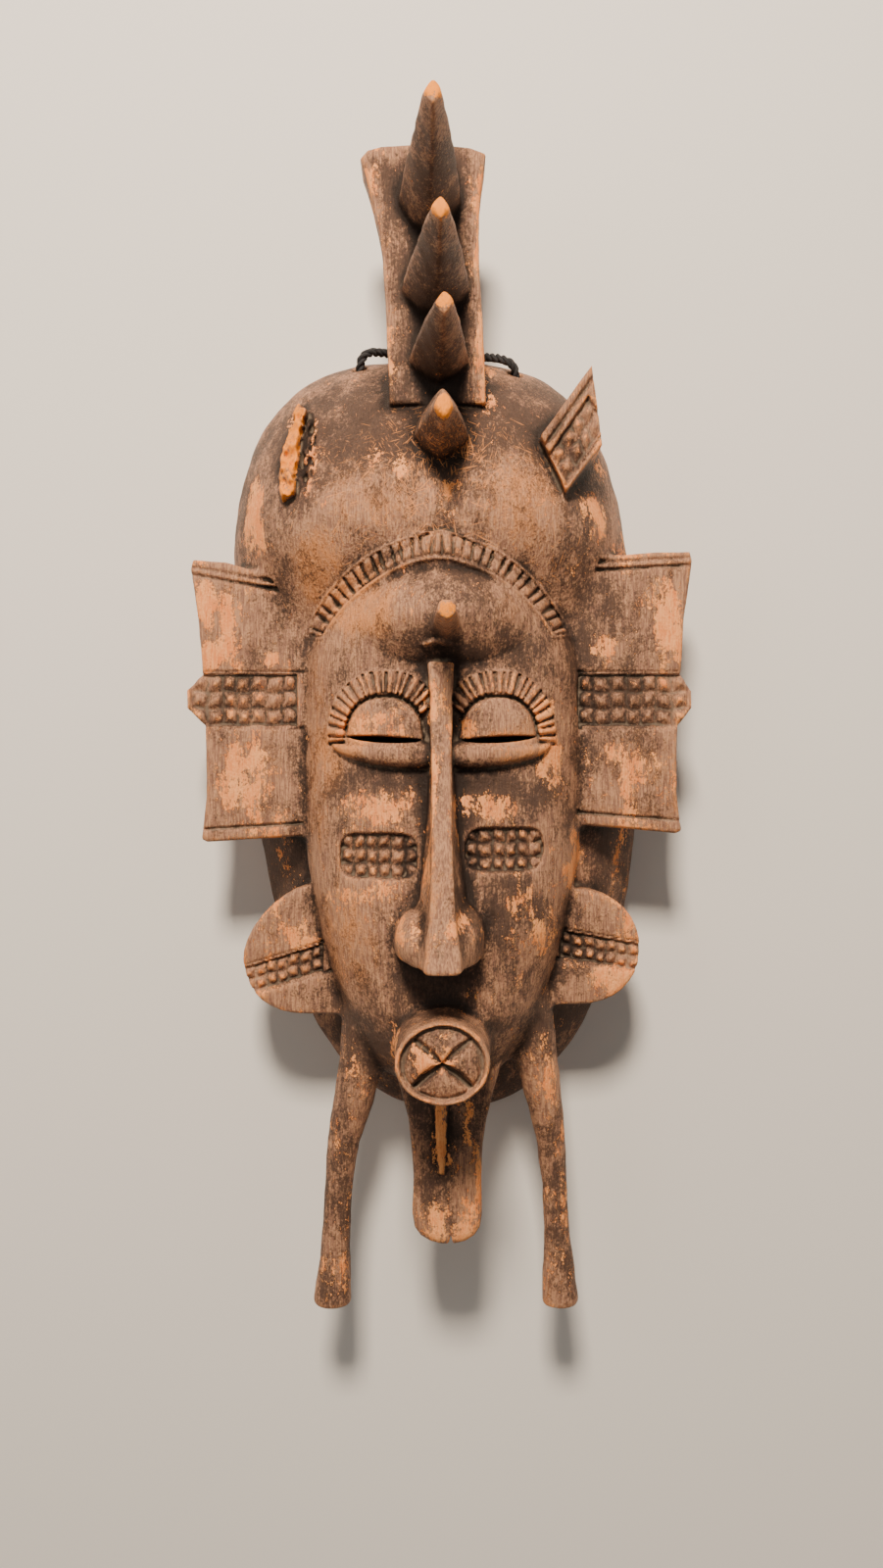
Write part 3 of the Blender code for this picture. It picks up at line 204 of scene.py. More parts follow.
@dataclass
class WoodBlock:
    """The block that the mask is carved from: signed distances on a grid, below zero in the wood."""

    step: float = FINE_STEP
    low: Point = (-84.0, -170.0, -2.4)
    high: Point = (83.0, 202.4, 98.4)
    values: Numbers = field(init=False)
    axes: list[Numbers] = field(init=False)

    def __post_init__(self) -> None:
        """Set out the grid, all of it air."""
        self.axes = [np.arange(a, b, self.step, dtype=np.float32) for a, b in zip(self.low, self.high)]
        self.values = np.full([len(axis) for axis in self.axes], AIR, np.float32)

    def window(self, low: Point, high: Point) -> Window:
        """The part of the block between two corners.

        Args:
            low: The corner with the least x, y and z.
            high: The corner with the greatest.

        Returns:
            The part, with the places of its grid points.
        """
        cut = []
        for axis, a, b in zip(self.axes, low, high):
            first, last = np.searchsorted(axis, (a, b))
            cut.append(slice(max(int(first) - 1, 0), min(int(last) + 1, len(axis))))
        x, y, z = (axis[part] for axis, part in zip(self.axes, cut))
        return Window(tuple(cut), x[:, None, None], y[None, :, None], z[None, None, :])

    def add(self, window: Window, shape: Numbers, blend: float = 1.5) -> None:
        """Join a form to the wood, with a fillet."""
        self.values[window.cut] = soft_min(self.values[window.cut], shape.astype(np.float32), blend)

    def cut(self, window: Window, shape: Numbers, blend: float = 0.5) -> None:
        """Take a form out of the wood, with a worn edge."""
        self.values[window.cut] = soft_max(self.values[window.cut], -shape.astype(np.float32), blend)

    def tilt(self, surface: Numbers, most: float) -> Numbers:
        """How much longer the way down is than the way square to a surface that faces up.

        Args:
            surface: Height of the surface at each x and y.
            most: The greatest square of a slope that is allowed for.

        Returns:
            The ratio at each x and y.
        """
        slope_x, slope_y = np.gradient(surface[:, :, 0], self.step)
        return np.sqrt(1.0 + np.minimum(slope_x ** 2 + slope_y ** 2, most))[:, :, None]

    def lower(self, window: Window, surface: Numbers, drop: Numbers) -> None:
        """Carve a pattern of the given depth into a surface that faces up.

        Args:
            window: The part of the block that holds the pattern.
            surface: Height of the uncut surface at each x and y.
            drop: Depth of the cut at each x and y, 0 outside the pattern.
        """
        # Nothing is cut where another form stands over the surface.
        above = np.where(window.z > surface + 1.0, self.values[window.cut], AIR)
        drop = drop * self.tilt(surface, 2.5) * (above.min(axis=2, keepdims=True) > 0.0)
        ground = surface - drop
        cut = np.maximum(self.values[window.cut], (window.z - ground) / self.tilt(ground, 4.0))
        self.values[window.cut] = np.where(drop > 0.0, cut, self.values[window.cut])

    def raise_up(self, window: Window, surface: Numbers, rise: Numbers, blend: float = 0.4) -> None:
        """Add a low form on a surface that faces up.

        Args:
            window: The part of the block that holds the form.
            surface: Height of the plain surface at each x and y.
            rise: Height of the form over it at each x and y, 0 outside the form.
            blend: Size of the fillet.
        """
        ground = surface + rise
        shape = (window.z - ground) / self.tilt(ground, 6.0)
        joined = soft_min(self.values[window.cut], shape.astype(np.float32), blend)
        self.values[window.cut] = np.where(rise > 0.0, joined, self.values[window.cut])

    def read(self, grid: Numbers, points: Numbers) -> Numbers:
        """Values of a grid of the block's size, read between its grid points.

        Args:
            grid: A number for each grid point.
            points: Free points in millimetres.

        Returns:
            The value at each of them.
        """
        places = (points - np.array([axis[0] for axis in self.axes])) / self.step
        places = np.clip(places, 0.0, np.array(grid.shape) - 1.001)
        base = places.astype(np.int64)
        share = places - base
        total = np.zeros(len(points))
        for corner in np.ndindex(2, 2, 2):
            weight = np.prod(np.where(np.array(corner), share, 1.0 - share), axis=1)
            total += weight * grid[tuple((base + corner).T)]
        return total

    def crowding(self, reach: float) -> Numbers:
        """Share of wood in a cube round each grid point: half on a flat, less on an edge, more in a nook.

        Args:
            reach: Half the cube's side in millimetres.

        Returns:
            The share at each grid point.
        """
        share = np.clip(0.5 - self.values / self.step, 0.0, 1.0).astype(np.float32)
        count = max(1, round(reach / self.step))
        for axis in range(3):
            padded = np.pad(share, [(count + 1, count) if a == axis else (0, 0) for a in range(3)], "edge")
            running = np.cumsum(padded, axis=axis, dtype=np.float32)
            size = share.shape[axis]
            share = np.take(running, np.arange(2 * count + 1, 2 * count + 1 + size), axis=axis)
            share = (share - np.take(running, np.arange(0, size), axis=axis)) / (2 * count + 1)
        return share

    def surface(self) -> tuple[Numbers, Numbers]:
        """The wood's surface as points and four-sided faces.

        Returns:
            Points in millimetres, and the indices of each face's four points.
        """
        values, shape = self.values, np.array(self.values.shape)
        wood = values < 0.0
        count = np.zeros(shape - 1, np.uint8)
        corners = list(np.ndindex(2, 2, 2))
        for i, j, k in corners:
            count += wood[i:shape[0] - 1 + i, j:shape[1] - 1 + j, k:shape[2] - 1 + k]
        cells = np.argwhere((count > 0) & (count < 8))
        number = np.full(shape - 1, -1, np.int32)
        number[tuple(cells.T)] = np.arange(len(cells))
        total, hits = np.zeros((len(cells), 3)), np.zeros(len(cells))
        at = {corner: values[tuple((cells + corner).T)].astype(np.float64) for corner in corners}
        for start in corners:
            for axis in range(3):
                if start[axis]:
                    continue
                end = tuple(1 if a == axis else start[a] for a in range(3))
                crossed = (at[start] < 0.0) != (at[end] < 0.0)
                t = at[start][crossed] / (at[start][crossed] - at[end][crossed])
                point = np.tile(np.array(start, float), (len(t), 1))
                point[:, axis] = t
                total[crossed] += point
                hits[crossed] += 1.0
        low = np.array([axis[0] for axis in self.axes])
        points = low + (cells + total / hits[:, None]) * self.step
        faces = []
        for axis in range(3):
            u, v = (axis + 1) % 3, (axis + 2) % 3
            low_end = np.take(wood, np.arange(shape[axis] - 1), axis=axis)
            high_end = np.take(wood, np.arange(1, shape[axis]), axis=axis)
            for out, crossed in ((True, low_end & ~high_end), (False, high_end & ~low_end)):
                edges = np.argwhere(crossed)
                edges = edges[(edges[:, u] > 0) & (edges[:, v] > 0)]
                edges = edges[(edges[:, u] < shape[u] - 1) & (edges[:, v] < shape[v] - 1)]
                ring = []
                for du, dv in ((-1, -1), (0, -1), (0, 0), (-1, 0)):
                    cell = edges.copy()
                    cell[:, u] += du
                    cell[:, v] += dv
                    ring.append(number[tuple(cell.T)])
                faces.append(np.stack(ring if out else ring[::-1], axis=1))
        return points, np.concatenate(faces)


@dataclass(frozen=True)
class ToolMarks:
    """The slow unevenness that the knife leaves on a form."""

    height: float
    wavelength: float
    seed: float

    def over(self, window: Window) -> Numbers:
        """Height of the unevenness over a window."""
        return self.height * waver(window.x, window.y, window.z, self.wavelength, self.seed)


# The carved forms


@dataclass
class Shell:
    """The hollow bowl: rounded at the top, drawn in at the bottom, open at the back."""

    top: float = 144.5
    bottom: float = -112.0
    widest: float = 45.0
    half: float = 67.5
    dome_depth: float = 63.0
    low_depth: float = 38.0
    depth_change: Place = (88.0, 36.0)
    lean_levels: Place = (110.0, -50.0)
    lean: Place = (-4.6, 2.9)
    section: float = 2.4
    wall: float = 9.0
    hollow_depth: float = 47.0
    marks: ToolMarks = ToolMarks(0.30, 21.0, 1.0)

    def share(self, y: Numbers) -> Numbers:
        """How far y lies from the widest level, as a share of the way to the shell's end."""
        above = (y - self.widest) / (self.top - self.widest)
        return np.where(y > self.widest, above, (self.widest - y) / (self.widest - self.bottom))

    def half_width(self, y: Numbers) -> Numbers:
        """Half the shell's width."""
        share = self.share(y)
        return self.half * np.where(y > self.widest, round_off(share, 3.0, 3.0), round_off(share, 2.4, 2.4))

    def centre(self, y: Numbers) -> Numbers:
        """The middle line, which leans to the left at the top."""
        start, end = self.lean_levels
        return lerp(self.lean[0], self.lean[1], ease((start - y) / (start - end)))

    def depth(self, y: Numbers) -> Numbers:
        """Height of the middle line over the rim plane.

        Args:
            y: Levels up the mask.

        Returns:
            The height at each level.
        """
        start, end = self.depth_change
        depth = lerp(self.dome_depth, self.low_depth, ease((start - y) / (start - end)))
        return depth * round_off(self.share(y), 2.0, 2.0)

    def height(self, x: Numbers, y: Numbers) -> Numbers:
        """Height of the outer surface."""
        half = np.maximum(self.half_width(y), 0.01)
        return self.depth(y) * round_off((x - self.centre(y)) / half, self.section, self.section)

    def plan(self) -> list[Place]:
        """The outline seen from the front.

        Returns:
            The outline's corners.
        """
        levels = lerp(self.bottom, self.top, 0.5 - 0.5 * np.cos(np.linspace(0.0, math.pi, 48)))
        half, centre = self.half_width(levels), self.centre(levels)
        return [*zip(centre + half, levels), *zip((centre - half)[::-1], levels[::-1])]

    def carve(self, block: WoodBlock) -> None:
        """Leave the bowl standing, still solid.

        Args:
            block: The block it is carved from.
        """
        w = block.window((-80.0, self.bottom - 16.0, -2.4), (80.0, self.top + 12.0, 76.0))
        u = np.abs(w.x - self.centre(w.y)) / np.maximum(self.half_width(w.y), 2.0)
        v = np.maximum(w.z, 0.0) / np.maximum(self.depth(w.y), 2.0)
        reach = (u ** self.section + v ** self.section) ** (1.0 / self.section)
        shape = true_distance(reach - 1.0, block.step)
        shape = shape + self.marks.over(w)
        shape = np.maximum(shape, outline_distance(w.x, w.y, self.plan()))
        egg = np.sqrt(self.share(w.y) ** 2 + (w.z / (self.dome_depth + 1.0)) ** 2) - 1.0
        shape = np.maximum(shape, egg * self.dome_depth)
        block.values[w.cut] = np.minimum(block.values[w.cut], shape)

    def hollow(self, block: WoodBlock) -> None:
        """Scoop out the back with a gouge.

        Args:
            block: The block it is carved from.
        """
        top, bottom = self.top - self.wall, self.bottom + self.wall
        w = block.window((-64.0, bottom - 2.0, -2.4), (64.0, top + 2.0, self.hollow_depth + 4.0))
        level = lerp(self.top, self.bottom, (top - w.y) / (top - bottom))
        half = np.maximum(self.half_width(level) * (1.0 - self.wall / self.half), 1.5)
        depth = np.maximum(self.hollow_depth * round_off(self.share(level), 2.0, 2.0), 1.5)
        u = (w.x - self.centre(level)) / half
        v = np.maximum(w.z, 0.0) / depth
        shape = true_distance(np.sqrt(u * u + v ** (4.0 / 3.0)) - 1.0, block.step)
        strokes = np.abs(np.sin(w.x * 0.36 + 0.7 * np.sin(w.y * 0.12)))
        strokes = strokes * np.abs(np.sin(w.y * 0.21 + 0.05 * w.x))
        shape = shape + 0.7 * (1.0 - strokes) + 0.3
        shape = np.maximum(shape, np.maximum(w.y - top, bottom - w.y))
        block.cut(w, shape, 1.2)


@dataclass
class Face:
    """The egg-shaped face, which stands proud of the shell."""

    half: float = 45.0
    bottom: float = -99.0
    root: float = 28.0
    centre: float = 0.3
    arch_middle: float = 33.6
    arch_height: float = 42.4
    line_y: tuple[float, ...] = (-99.0, -86.0, -70.0, -45.0, 0.0, 34.0, 60.0, 76.0)
    line_z: tuple[float, ...] = (38.0, 52.0, 59.0, 60.5, 57.0, 57.0, 59.0, 59.5)
    forehead: Place = (0.8, 50.0)
    forehead_reach: Place = (27.0, 14.4)
    forehead_rise: float = 8.0
    marks: ToolMarks = ToolMarks(0.22, 17.0, 2.0)

    def plan(self) -> list[Place]:
        """The outline seen from the front.

        Returns:
            The outline's corners.
        """
        top = self.arch_middle + self.arch_height
        levels = lerp(self.bottom, top, 0.5 - 0.5 * np.cos(np.linspace(0.0, math.pi, 48)))
        half = self.half_width(levels)
        return [*zip(self.centre + half, levels), *zip((self.centre - half)[::-1], levels[::-1])]

    def half_width(self, y: Numbers) -> Numbers:
        """Half the width: a round arch on top, straight sides, an egg's end at the chin.

        Args:
            y: Levels up the mask.

        Returns:
            Half the width at each level.
        """
        arch = round_off((y - self.arch_middle) / self.arch_height, 1.8, 1.8)
        egg = np.maximum(0.0, 1.0 - np.abs(np.minimum(y, 0.0) / self.bottom) ** 1.8) ** 0.45
        return self.half * np.where(y > self.arch_middle, arch, np.where(y > 0.0, 1.0, egg))

    def middle(self, y: Numbers) -> Numbers:
        """Height of the middle line, without nose, lids or forehead."""
        return np.interp(y, self.line_y, self.line_z)

    def swell(self, x: Numbers, y: Numbers) -> Numbers:
        """How far the forehead swells out round the peg.

        Args:
            x: Places along X.
            y: Places along Y.

        Returns:
            The swelling's height at each place.
        """
        u = (x - self.forehead[0]) / self.forehead_reach[0]
        v = (y - self.forehead[1]) / self.forehead_reach[1]
        return self.forehead_rise * np.maximum(0.0, 1.0 - u * u - v * v) ** 1.2

    def height(self, x: Numbers, y: Numbers) -> Numbers:
        """Height of the plain face.

        Args:
            x: Places along X.
            y: Places along Y.

        Returns:
            The height at each place.
        """
        half = np.maximum(self.half_width(y), 0.01)
        middle = self.middle(y)
        root = np.minimum(self.root, middle - 3.0)
        share = round_off((x - self.centre) / half, 2.5, 2.0)
        return root + (middle - root) * share + self.swell(x, y)

    def carve(self, block: WoodBlock) -> None:
        """Leave the face standing on the shell.

        Args:
            block: The block it is carved from.
        """
        top = self.arch_middle + self.arch_height
        w = block.window((-58.0, self.bottom - 14.0, 0.0), (58.0, top + 10.0, 80.0))
        middle = self.middle(w.y)
        root = np.minimum(self.root, middle - 3.0)
        u = np.abs(w.x - self.centre) / np.maximum(self.half_width(w.y), 1.5)
        v = np.maximum(w.z - self.swell(w.x, w.y) - root, 0.0) / (middle - root)
        shape = true_distance(np.sqrt(u ** 2.5 + v * v) - 1.0, block.step)
        shape = shape + self.marks.over(w)
        shape = np.maximum(shape, outline_distance(w.x, w.y, self.plan()))
        block.add(w, np.maximum(shape, 9.0 - w.z), 1.6)


@dataclass
class Skin:
    """The carved front before its patterns: shell and face together."""

    shell: Shell = field(default_factory=Shell)
    face: Face = field(default_factory=Face)

    def height(self, x: Numbers, y: Numbers) -> Numbers:
        """Height of the front."""
        return np.maximum(self.shell.height(x, y), self.face.height(x, y))


@dataclass
class Arch:
    """The raised band over the forehead, with a groove along each edge and bars between."""

    skin: Skin
    middle: Place = (-1.3, 33.6)
    reach: Place = (46.2, 42.2)
    power: float = 1.8
    width: Place = (7.4, 6.6)
    rise: float = 1.9
    start: float = math.radians(17.0)
    end: float = math.radians(163.0)
    bars: int = 31
    notch_depth: float = 1.7
    border: float = 1.15

    def carve(self, block: WoodBlock) -> None:
        """Raise the band and cut its bars.

        Args:
            block: The block it is carved from.
        """
        w = block.window((self.middle[0] - self.reach[0] - 3.0, self.middle[1] + 8.0, 26.0),
                         (self.middle[0] + self.reach[0] + 3.0, self.middle[1] + self.reach[1] + 4.0, 72.0))
        dx, dy = w.x - self.middle[0], w.y - self.middle[1]
        ring = ((np.abs(dx) / self.reach[0]) ** self.power + (np.abs(dy) / self.reach[1]) ** self.power)
        inward = (1.0 - ring ** (1.0 / self.power)) * np.hypot(dx, dy)
        angle = np.arctan2(dy, dx)
        half_span = (self.end - self.start) / 2.0
        off = np.abs(angle - (self.start + self.end) / 2.0) / half_span
        width = lerp(self.width[0], self.width[1], np.minimum(off, 1.0) ** 2)
        surface = self.skin.height(w.x, w.y)
        edge = np.minimum(np.minimum(inward, width - inward), (1.0 - off) * half_span * self.reach[1])
        rise = self.rise * ease(edge / 0.8) * (edge > 0.0)
        block.raise_up(w, surface, rise, 0.4)
        turn = (angle - self.start) / (2.0 * half_span) * self.bars
        lean = (inward / width - 0.5) * np.where(dx < 0.0, -0.42, 0.30)
        cell = turn + lean + 0.12 * np.sin(turn * 2.9) + 0.05 * np.sin(turn * 7.3)
        pitch = 2.0 * half_span * self.reach[1] / self.bars
        gap = np.abs(cell - np.round(cell)) * pitch
        inside = (edge > self.border * 0.9) & (off < 0.985)
        drop = self.notch_depth * notch(gap) * inside
        rim = np.abs(edge - self.border)
        drop = np.maximum(drop, 1.2 * np.maximum(0.0, 1.0 - rim / 0.65) * (edge > 0.2))
        block.lower(w, surface + rise, drop)


@dataclass
class Peg:
    """The peg that stands out of the forehead, sawn flat at its end."""

    foot: Place = (1.4, 47.0)
    root: float = 60.0
    tip: float = 94.9
    radii: Place = (4.1, 2.6)

    def carve(self, block: WoodBlock) -> None:
        """Leave the peg standing.

        Args:
            block: The block it is carved from.
        """
        x, y = self.foot
        w = block.window((x - 9.0, y - 9.0, self.root - 6.0), (x + 9.0, y + 9.0, self.tip + 2.0))
        t = np.clip((w.z - self.root) / (self.tip - self.root), 0.0, 1.0)
        radius = lerp(self.radii[0], self.radii[1], t)
        facets = 0.15 * np.sin(5.0 * np.arctan2(w.y - y, w.x - x))
        round_side = np.sqrt((w.x - x) ** 2 + (w.y - y) ** 2) - radius + facets
        shape = soft_max(round_side, w.z - self.tip + 0.25, 0.8)
        block.add(w, np.maximum(shape, self.root - 5.0 - w.z), 3.5)


@dataclass
class Nose:
    """A long flat-topped ridge that rises to the tip, with a lobe on each side, cut off flat below."""

    top_y: float = 36.2
    end_y: float = -51.5
    top_z: float = 62.0
    end_z: float = 86.0
    x: Place = (-0.2, 0.4)
    foot_spread: Place = (0.8, 5.6)
    lobes: tuple[Place, ...] = ((-7.3, -46.6), (6.1, -45.6))
    lobe_z: float = 59.0
    lobe_size: Point = (6.7, 9.8, 17.0)
    marks: ToolMarks = ToolMarks(0.12, 9.0, 4.0)

    def carve(self, block: WoodBlock) -> None:
        """Leave the ridge and its lobes standing.

        Args:
            block: The block it is carved from.
        """
        w = block.window((-19.0, self.end_y - 4.0, 44.0), (19.0, self.top_y + 4.0, self.end_z + 2.0))
        t = np.clip((self.top_y - w.y) / (self.top_y - self.end_y), 0.0, 1.0)
        top = lerp(self.top_z, self.end_z, t ** 1.3)
        crown = 4.0 - 1.1 * hump(t * 1.1) ** 0.7 + 1.2 * ease((t - 0.84) / 0.16)
        spread = lerp(self.foot_spread[0], self.foot_spread[1], t ** 1.4) * ease((top - w.z) / 26.0)
        across = w.x - lerp(self.x[0], self.x[1], t)
        side = (np.abs(across) - crown - spread) * 0.94
        shape = soft_max(side, w.z - top + 0.25 * (across / 3.4) ** 2, 1.2)
        end = (self.end_y - w.y) - 0.06 * (w.z - 74.0) - 0.9 * (1.0 - (w.x / 13.0) ** 2)
        shape = soft_max(shape, np.maximum(w.y - self.top_y, end), 0.8)
        block.add(w, shape + self.marks.over(w), 1.6)
        for x, y in self.lobes:
            u, v = (w.x - x) / self.lobe_size[0], (w.y - y) / self.lobe_size[1]
            s = (w.z - self.lobe_z) / self.lobe_size[2]
            lobe = (np.sqrt(u * u + v * v + s * s) - 1.0) * 7.0
            block.add(w, soft_max(lobe, end, 0.8), 2.4)


@dataclass
class Eye:
    """Notched brow, half-closed lid, slit right through, and the roll under the slit."""

    skin: Skin
    side: Side
    x: float = 17.2
    y: float = 13.4
    brow_outer: Place = (18.6, 21.6)
    brow_inner: Place = (12.2, 13.4)
    brow_power: float = 2.3
    brow_radius: float = 16.5
    brow_rise: Place = (1.5, 2.9)
    brow_angles: Place = (math.radians(-4.0), math.radians(150.0))
    bars: int = 19
    notch_depth: float = 1.6
    lid_rise: float = 3.4
    roll_rise: float = 4.4
    roll_root: float = 4.0
    roll_tip: float = 33.6
    roll_top: float = 13.0
    roll_depth: float = 8.4
    slit: Place = (23.0, 2.1)

    def carve(self, block: WoodBlock) -> None:
        """Raise the brow, lid and roll, and cut the notches.

        Args:
            block: The block it is carved from.
        """
        sign = self.side.value
        middle = sign * self.x
        w = block.window((middle - 23.0, self.y - 14.0, 40.0), (middle + 23.0, self.y + 26.0, 74.0))
        out = sign * w.x
        dx, dy = out - self.x, w.y - self.y
        surface = self.skin.height(w.x, w.y)
        clear_of_nose = ease((out - 2.6) / 1.0)

        def ring(reach: Place) -> Numbers:
            """Share of the way out to an oval of the given reach."""
            power = self.brow_power
            return ((np.abs(dx) / reach[0]) ** power + (np.abs(dy) / reach[1]) ** power) ** (1.0 / power)

        outer, inner = ring(self.brow_outer), ring(self.brow_inner)
        lens = np.sqrt(np.maximum(0.0, 1.0 - inner ** 2.2))
        lid = self.lid_rise * lens ** 0.8 * ease((dy + 2.4) / 1.2) * clear_of_nose
        block.raise_up(w, surface, lid, 0.3)

        share = np.clip((out - self.roll_root) / (self.roll_tip - self.roll_root), 0.0, 1.0)
        half = self.roll_depth * np.sqrt(np.maximum(0.0, 1.0 - share ** 2)) / 2.0 * (out < self.roll_tip)
        across = (w.y - self.roll_top + half + 0.5 * share) / np.maximum(half, 0.05)
        roll = self.roll_rise * round_off(across, 2.4, 1.7) * (1.0 - share ** 4) ** 0.5
        block.raise_up(w, surface, roll * clear_of_nose * (half > 0.05), 0.3)

        angle = np.arctan2(dy / self.brow_outer[1], dx / self.brow_outer[0])
        start, end = self.brow_angles
        between = (1.0 - outer) / np.maximum((1.0 - outer) + (inner - 1.0), 1e-3)
        in_band = (outer < 1.0) & (inner > 1.0) & (angle > start) & (angle < end)
        rise = lerp(self.brow_rise[0], self.brow_rise[1], np.clip(between, 0.0, 1.0))
        rise = rise * ease((1.0 - outer) * 14.0) * ease((inner - 1.0) * 22.0 + 0.25)
        rise = rise * ease((angle - start) / 0.12) * in_band * clear_of_nose
        block.raise_up(w, surface, rise, 0.4)

        turn = (angle - start) / (end - start) * self.bars
        cell = turn + 0.16 * np.sin(turn * 2.3 + sign) + 0.07 * np.sin(turn * 6.1)
        pitch = (end - start) * self.brow_radius / self.bars
        gap = np.abs(cell - np.round(cell)) * pitch
        inside = in_band & (between > 0.08) & (between < 0.97)
        drop = self.notch_depth * notch(gap) * inside * clear_of_nose
        block.lower(w, surface + rise, drop)
        under = np.maximum(0.0, 1.0 - np.abs(inner - 0.98) * 12.0 / 0.9)
        under = under * ease(dy / 3.0) * clear_of_nose
        block.lower(w, surface + lid, under * (inner < 1.0) * (dy > 0.0))

    def cut_slit(self, block: WoodBlock) -> None:
        """Cut the slit through to the hollow: a straight upper edge, a sagging lower one.

        Args:
            block: The block it is carved from.
        """
        middle = self.side.value * self.x
        w = block.window((middle - 14.0, self.y - 5.0, 25.0), (middle + 14.0, self.y + 5.0, 72.0))
        along = (w.x - middle) / (self.slit[0] / 2.0)
        half = self.slit[1] / 2.0 * round_off(along, 2.0, 1.4)
        level = self.y + 0.3 + 0.9 * self.side.value * along * 0.7
        shape = np.maximum(np.abs(w.y - level + 0.35 * half) - half, (np.abs(along) - 1.0) * 4.0)
        block.cut(w, shape + 0.0 * w.z, 0.3)


@dataclass
class Mouth:
    """A tube that stands out from the chin, with a rounded rim round a domed disc cut crosswise."""

    x: float = 0.3
    y: float = -78.8
    z: float = 80.0
    size: Place = (13.5, 11.8)
    root: float = 44.0
    marks: ToolMarks = ToolMarks(0.18, 8.0, 6.0)

    def carve(self, block: WoodBlock) -> None:
        """Leave the tube standing and carve its end.

        Args:
            block: The block it is carved from.
        """
        w = block.window((self.x - 19.0, self.y - 17.0, self.root),
                         (self.x + 19.0, self.y + 17.0, self.z + 3.0))
        dx, dy = w.x - self.x, w.y - self.y
        ring = np.sqrt((dx / self.size[0]) ** 2 + (dy / self.size[1]) ** 2)
        flare = 1.0 + 0.10 * ease((self.z - 6.0 - w.z) / 24.0)
        side = (ring / flare - 1.0) * 12.4 + self.marks.over(w)
        block.add(w, soft_max(side, w.z - self.z - 0.4, 2.4), 2.6)
        surface = np.full(ring.shape, self.z + 0.4)
        ring = ring + 0.012 * np.sin(3.0 * np.arctan2(dy, dx) + 0.6)
        groove = 2.8 * np.clip((0.085 - np.abs(ring - 0.845)) / 0.06, 0.0, 1.0)
        disc = np.where(ring < 0.85, 0.3 + 1.9 * (ring / 0.84) ** 3.0, 0.0)
        drop = np.maximum(groove, disc)
        for slope in (0.83, -0.83):
            tilt = math.hypot(1.0, slope)
            off = np.abs(dy - slope * dx) / tilt
            along = np.abs(dx + slope * dy) / tilt / 11.0
            width = 0.35 + 1.5 * hump(along) ** 0.8 + np.where(dy < 0.0, 0.3, 0.0)
            cut = np.where(dy < 0.0, 3.4, 2.2) * np.maximum(0.0, 1.0 - off / width)
            cut = cut * (along < 1.0) * (ring < 0.86)
            drop = np.maximum(drop, (disc + cut) * (cut > 0.0))
        block.lower(w, surface, drop * (ring < 0.95))


@dataclass
class Plate:
    """A flat form with an outline, a front face and worn edges."""

    outline: list[Place]
    front: float
    thickness: float
    worn: float = 1.6
    seed: float = 1.0

    def carve(self, block: WoodBlock, blend: float = 2.0) -> Window:
        """Leave the plate standing.

        Args:
            block: The block it is carved from.
            blend: Size of the fillet where it meets other forms.

        Returns:
            The window that holds the plate.
        """
        xs, ys = [p[0] for p in self.outline], [p[1] for p in self.outline]
        w = block.window((min(xs) - 3.0, min(ys) - 3.0, self.front - self.thickness - 3.0),
                         (max(xs) + 3.0, max(ys) + 3.0, self.front + 3.0))
        edge = outline_distance(w.x, w.y, self.outline)
        edge = edge + 0.16 * waver(w.x, w.y, 0.0, 23.0, self.seed) + 0.1
        dip = 0.15 * waver(w.x, w.y, 0.0, 27.0, self.seed + 2.0) + 0.15
        flat = np.abs(w.z + dip - self.front + self.thickness / 2.0) - self.thickness / 2.0
        block.add(w, soft_max(edge + 0.0 * w.z, flat, self.worn), blend)
        return w


@dataclass(frozen=True)
class Patch:
    """A patch of small pyramids left between crossing cuts in a flat face."""

    corner: Place
    row_way: Place
    column_way: Place
    rows: int
    columns: int
    depth: float = 1.5
    top: float = 0.7

    def drop(self, x: Numbers, y: Numbers) -> Numbers:
        """Depth of the cuts.

        Args:
            x: Places along X.
            y: Places along Y.

        Returns:
            The depth at each place, 0 outside the patch.
        """
        (ax, ay), (bx, by) = self.row_way, self.column_way
        area = ax * by - ay * bx
        dx, dy = x - self.corner[0], y - self.corner[1]
        across = (dx * by - dy * bx) / area
        down = (dy * ax - dx * ay) / area
        bend = 0.10 * np.sin(across * 9.0 + 2.0 * down) + 0.06 * np.sin(down * 17.0)
        column = across * self.columns + bend
        row = down * self.rows + 0.08 * np.sin(across * 21.0)
        column_pitch = math.hypot(ax, ay) / self.columns
        row_pitch = math.hypot(bx, by) / self.rows
        side = np.abs(column - np.round(column)) * column_pitch
        level = np.abs(row - np.round(row)) * row_pitch
        cut = np.maximum(1.0 - side / (column_pitch / 2.0 - self.top / 2.0),
                         1.0 - level / (row_pitch / 2.0 - self.top / 2.0)) * 1.08
        margin = np.minimum(np.minimum(across, 1.0 - across) * self.columns * column_pitch,
                            np.minimum(down, 1.0 - down) * self.rows * row_pitch)
        return self.depth * np.maximum(cut, 0.0) * ease((margin + 0.7) / 0.7)


def line_drop(x: Numbers, y: Numbers, start: Place, end: Place, width: float, depth: float) -> Numbers:
    """Depth of a straight V-shaped cut.

    Args:
        x: Places along X.
        y: Places along Y.
        start: One end of the cut.
        end: Its other end.
        width: Width at the surface.
        depth: Depth in the middle.

    Returns:
        The depth at each place, 0 beside the cut.
    """
    ex, ey = end[0] - start[0], end[1] - start[1]
    t = np.clip(((x - start[0]) * ex + (y - start[1]) * ey) / (ex * ex + ey * ey), 0.0, 1.0)
    off = np.hypot(x - start[0] - ex * t, y - start[1] - ey * t)
    return depth * np.maximum(0.0, 1.0 - off / (width / 2.0))


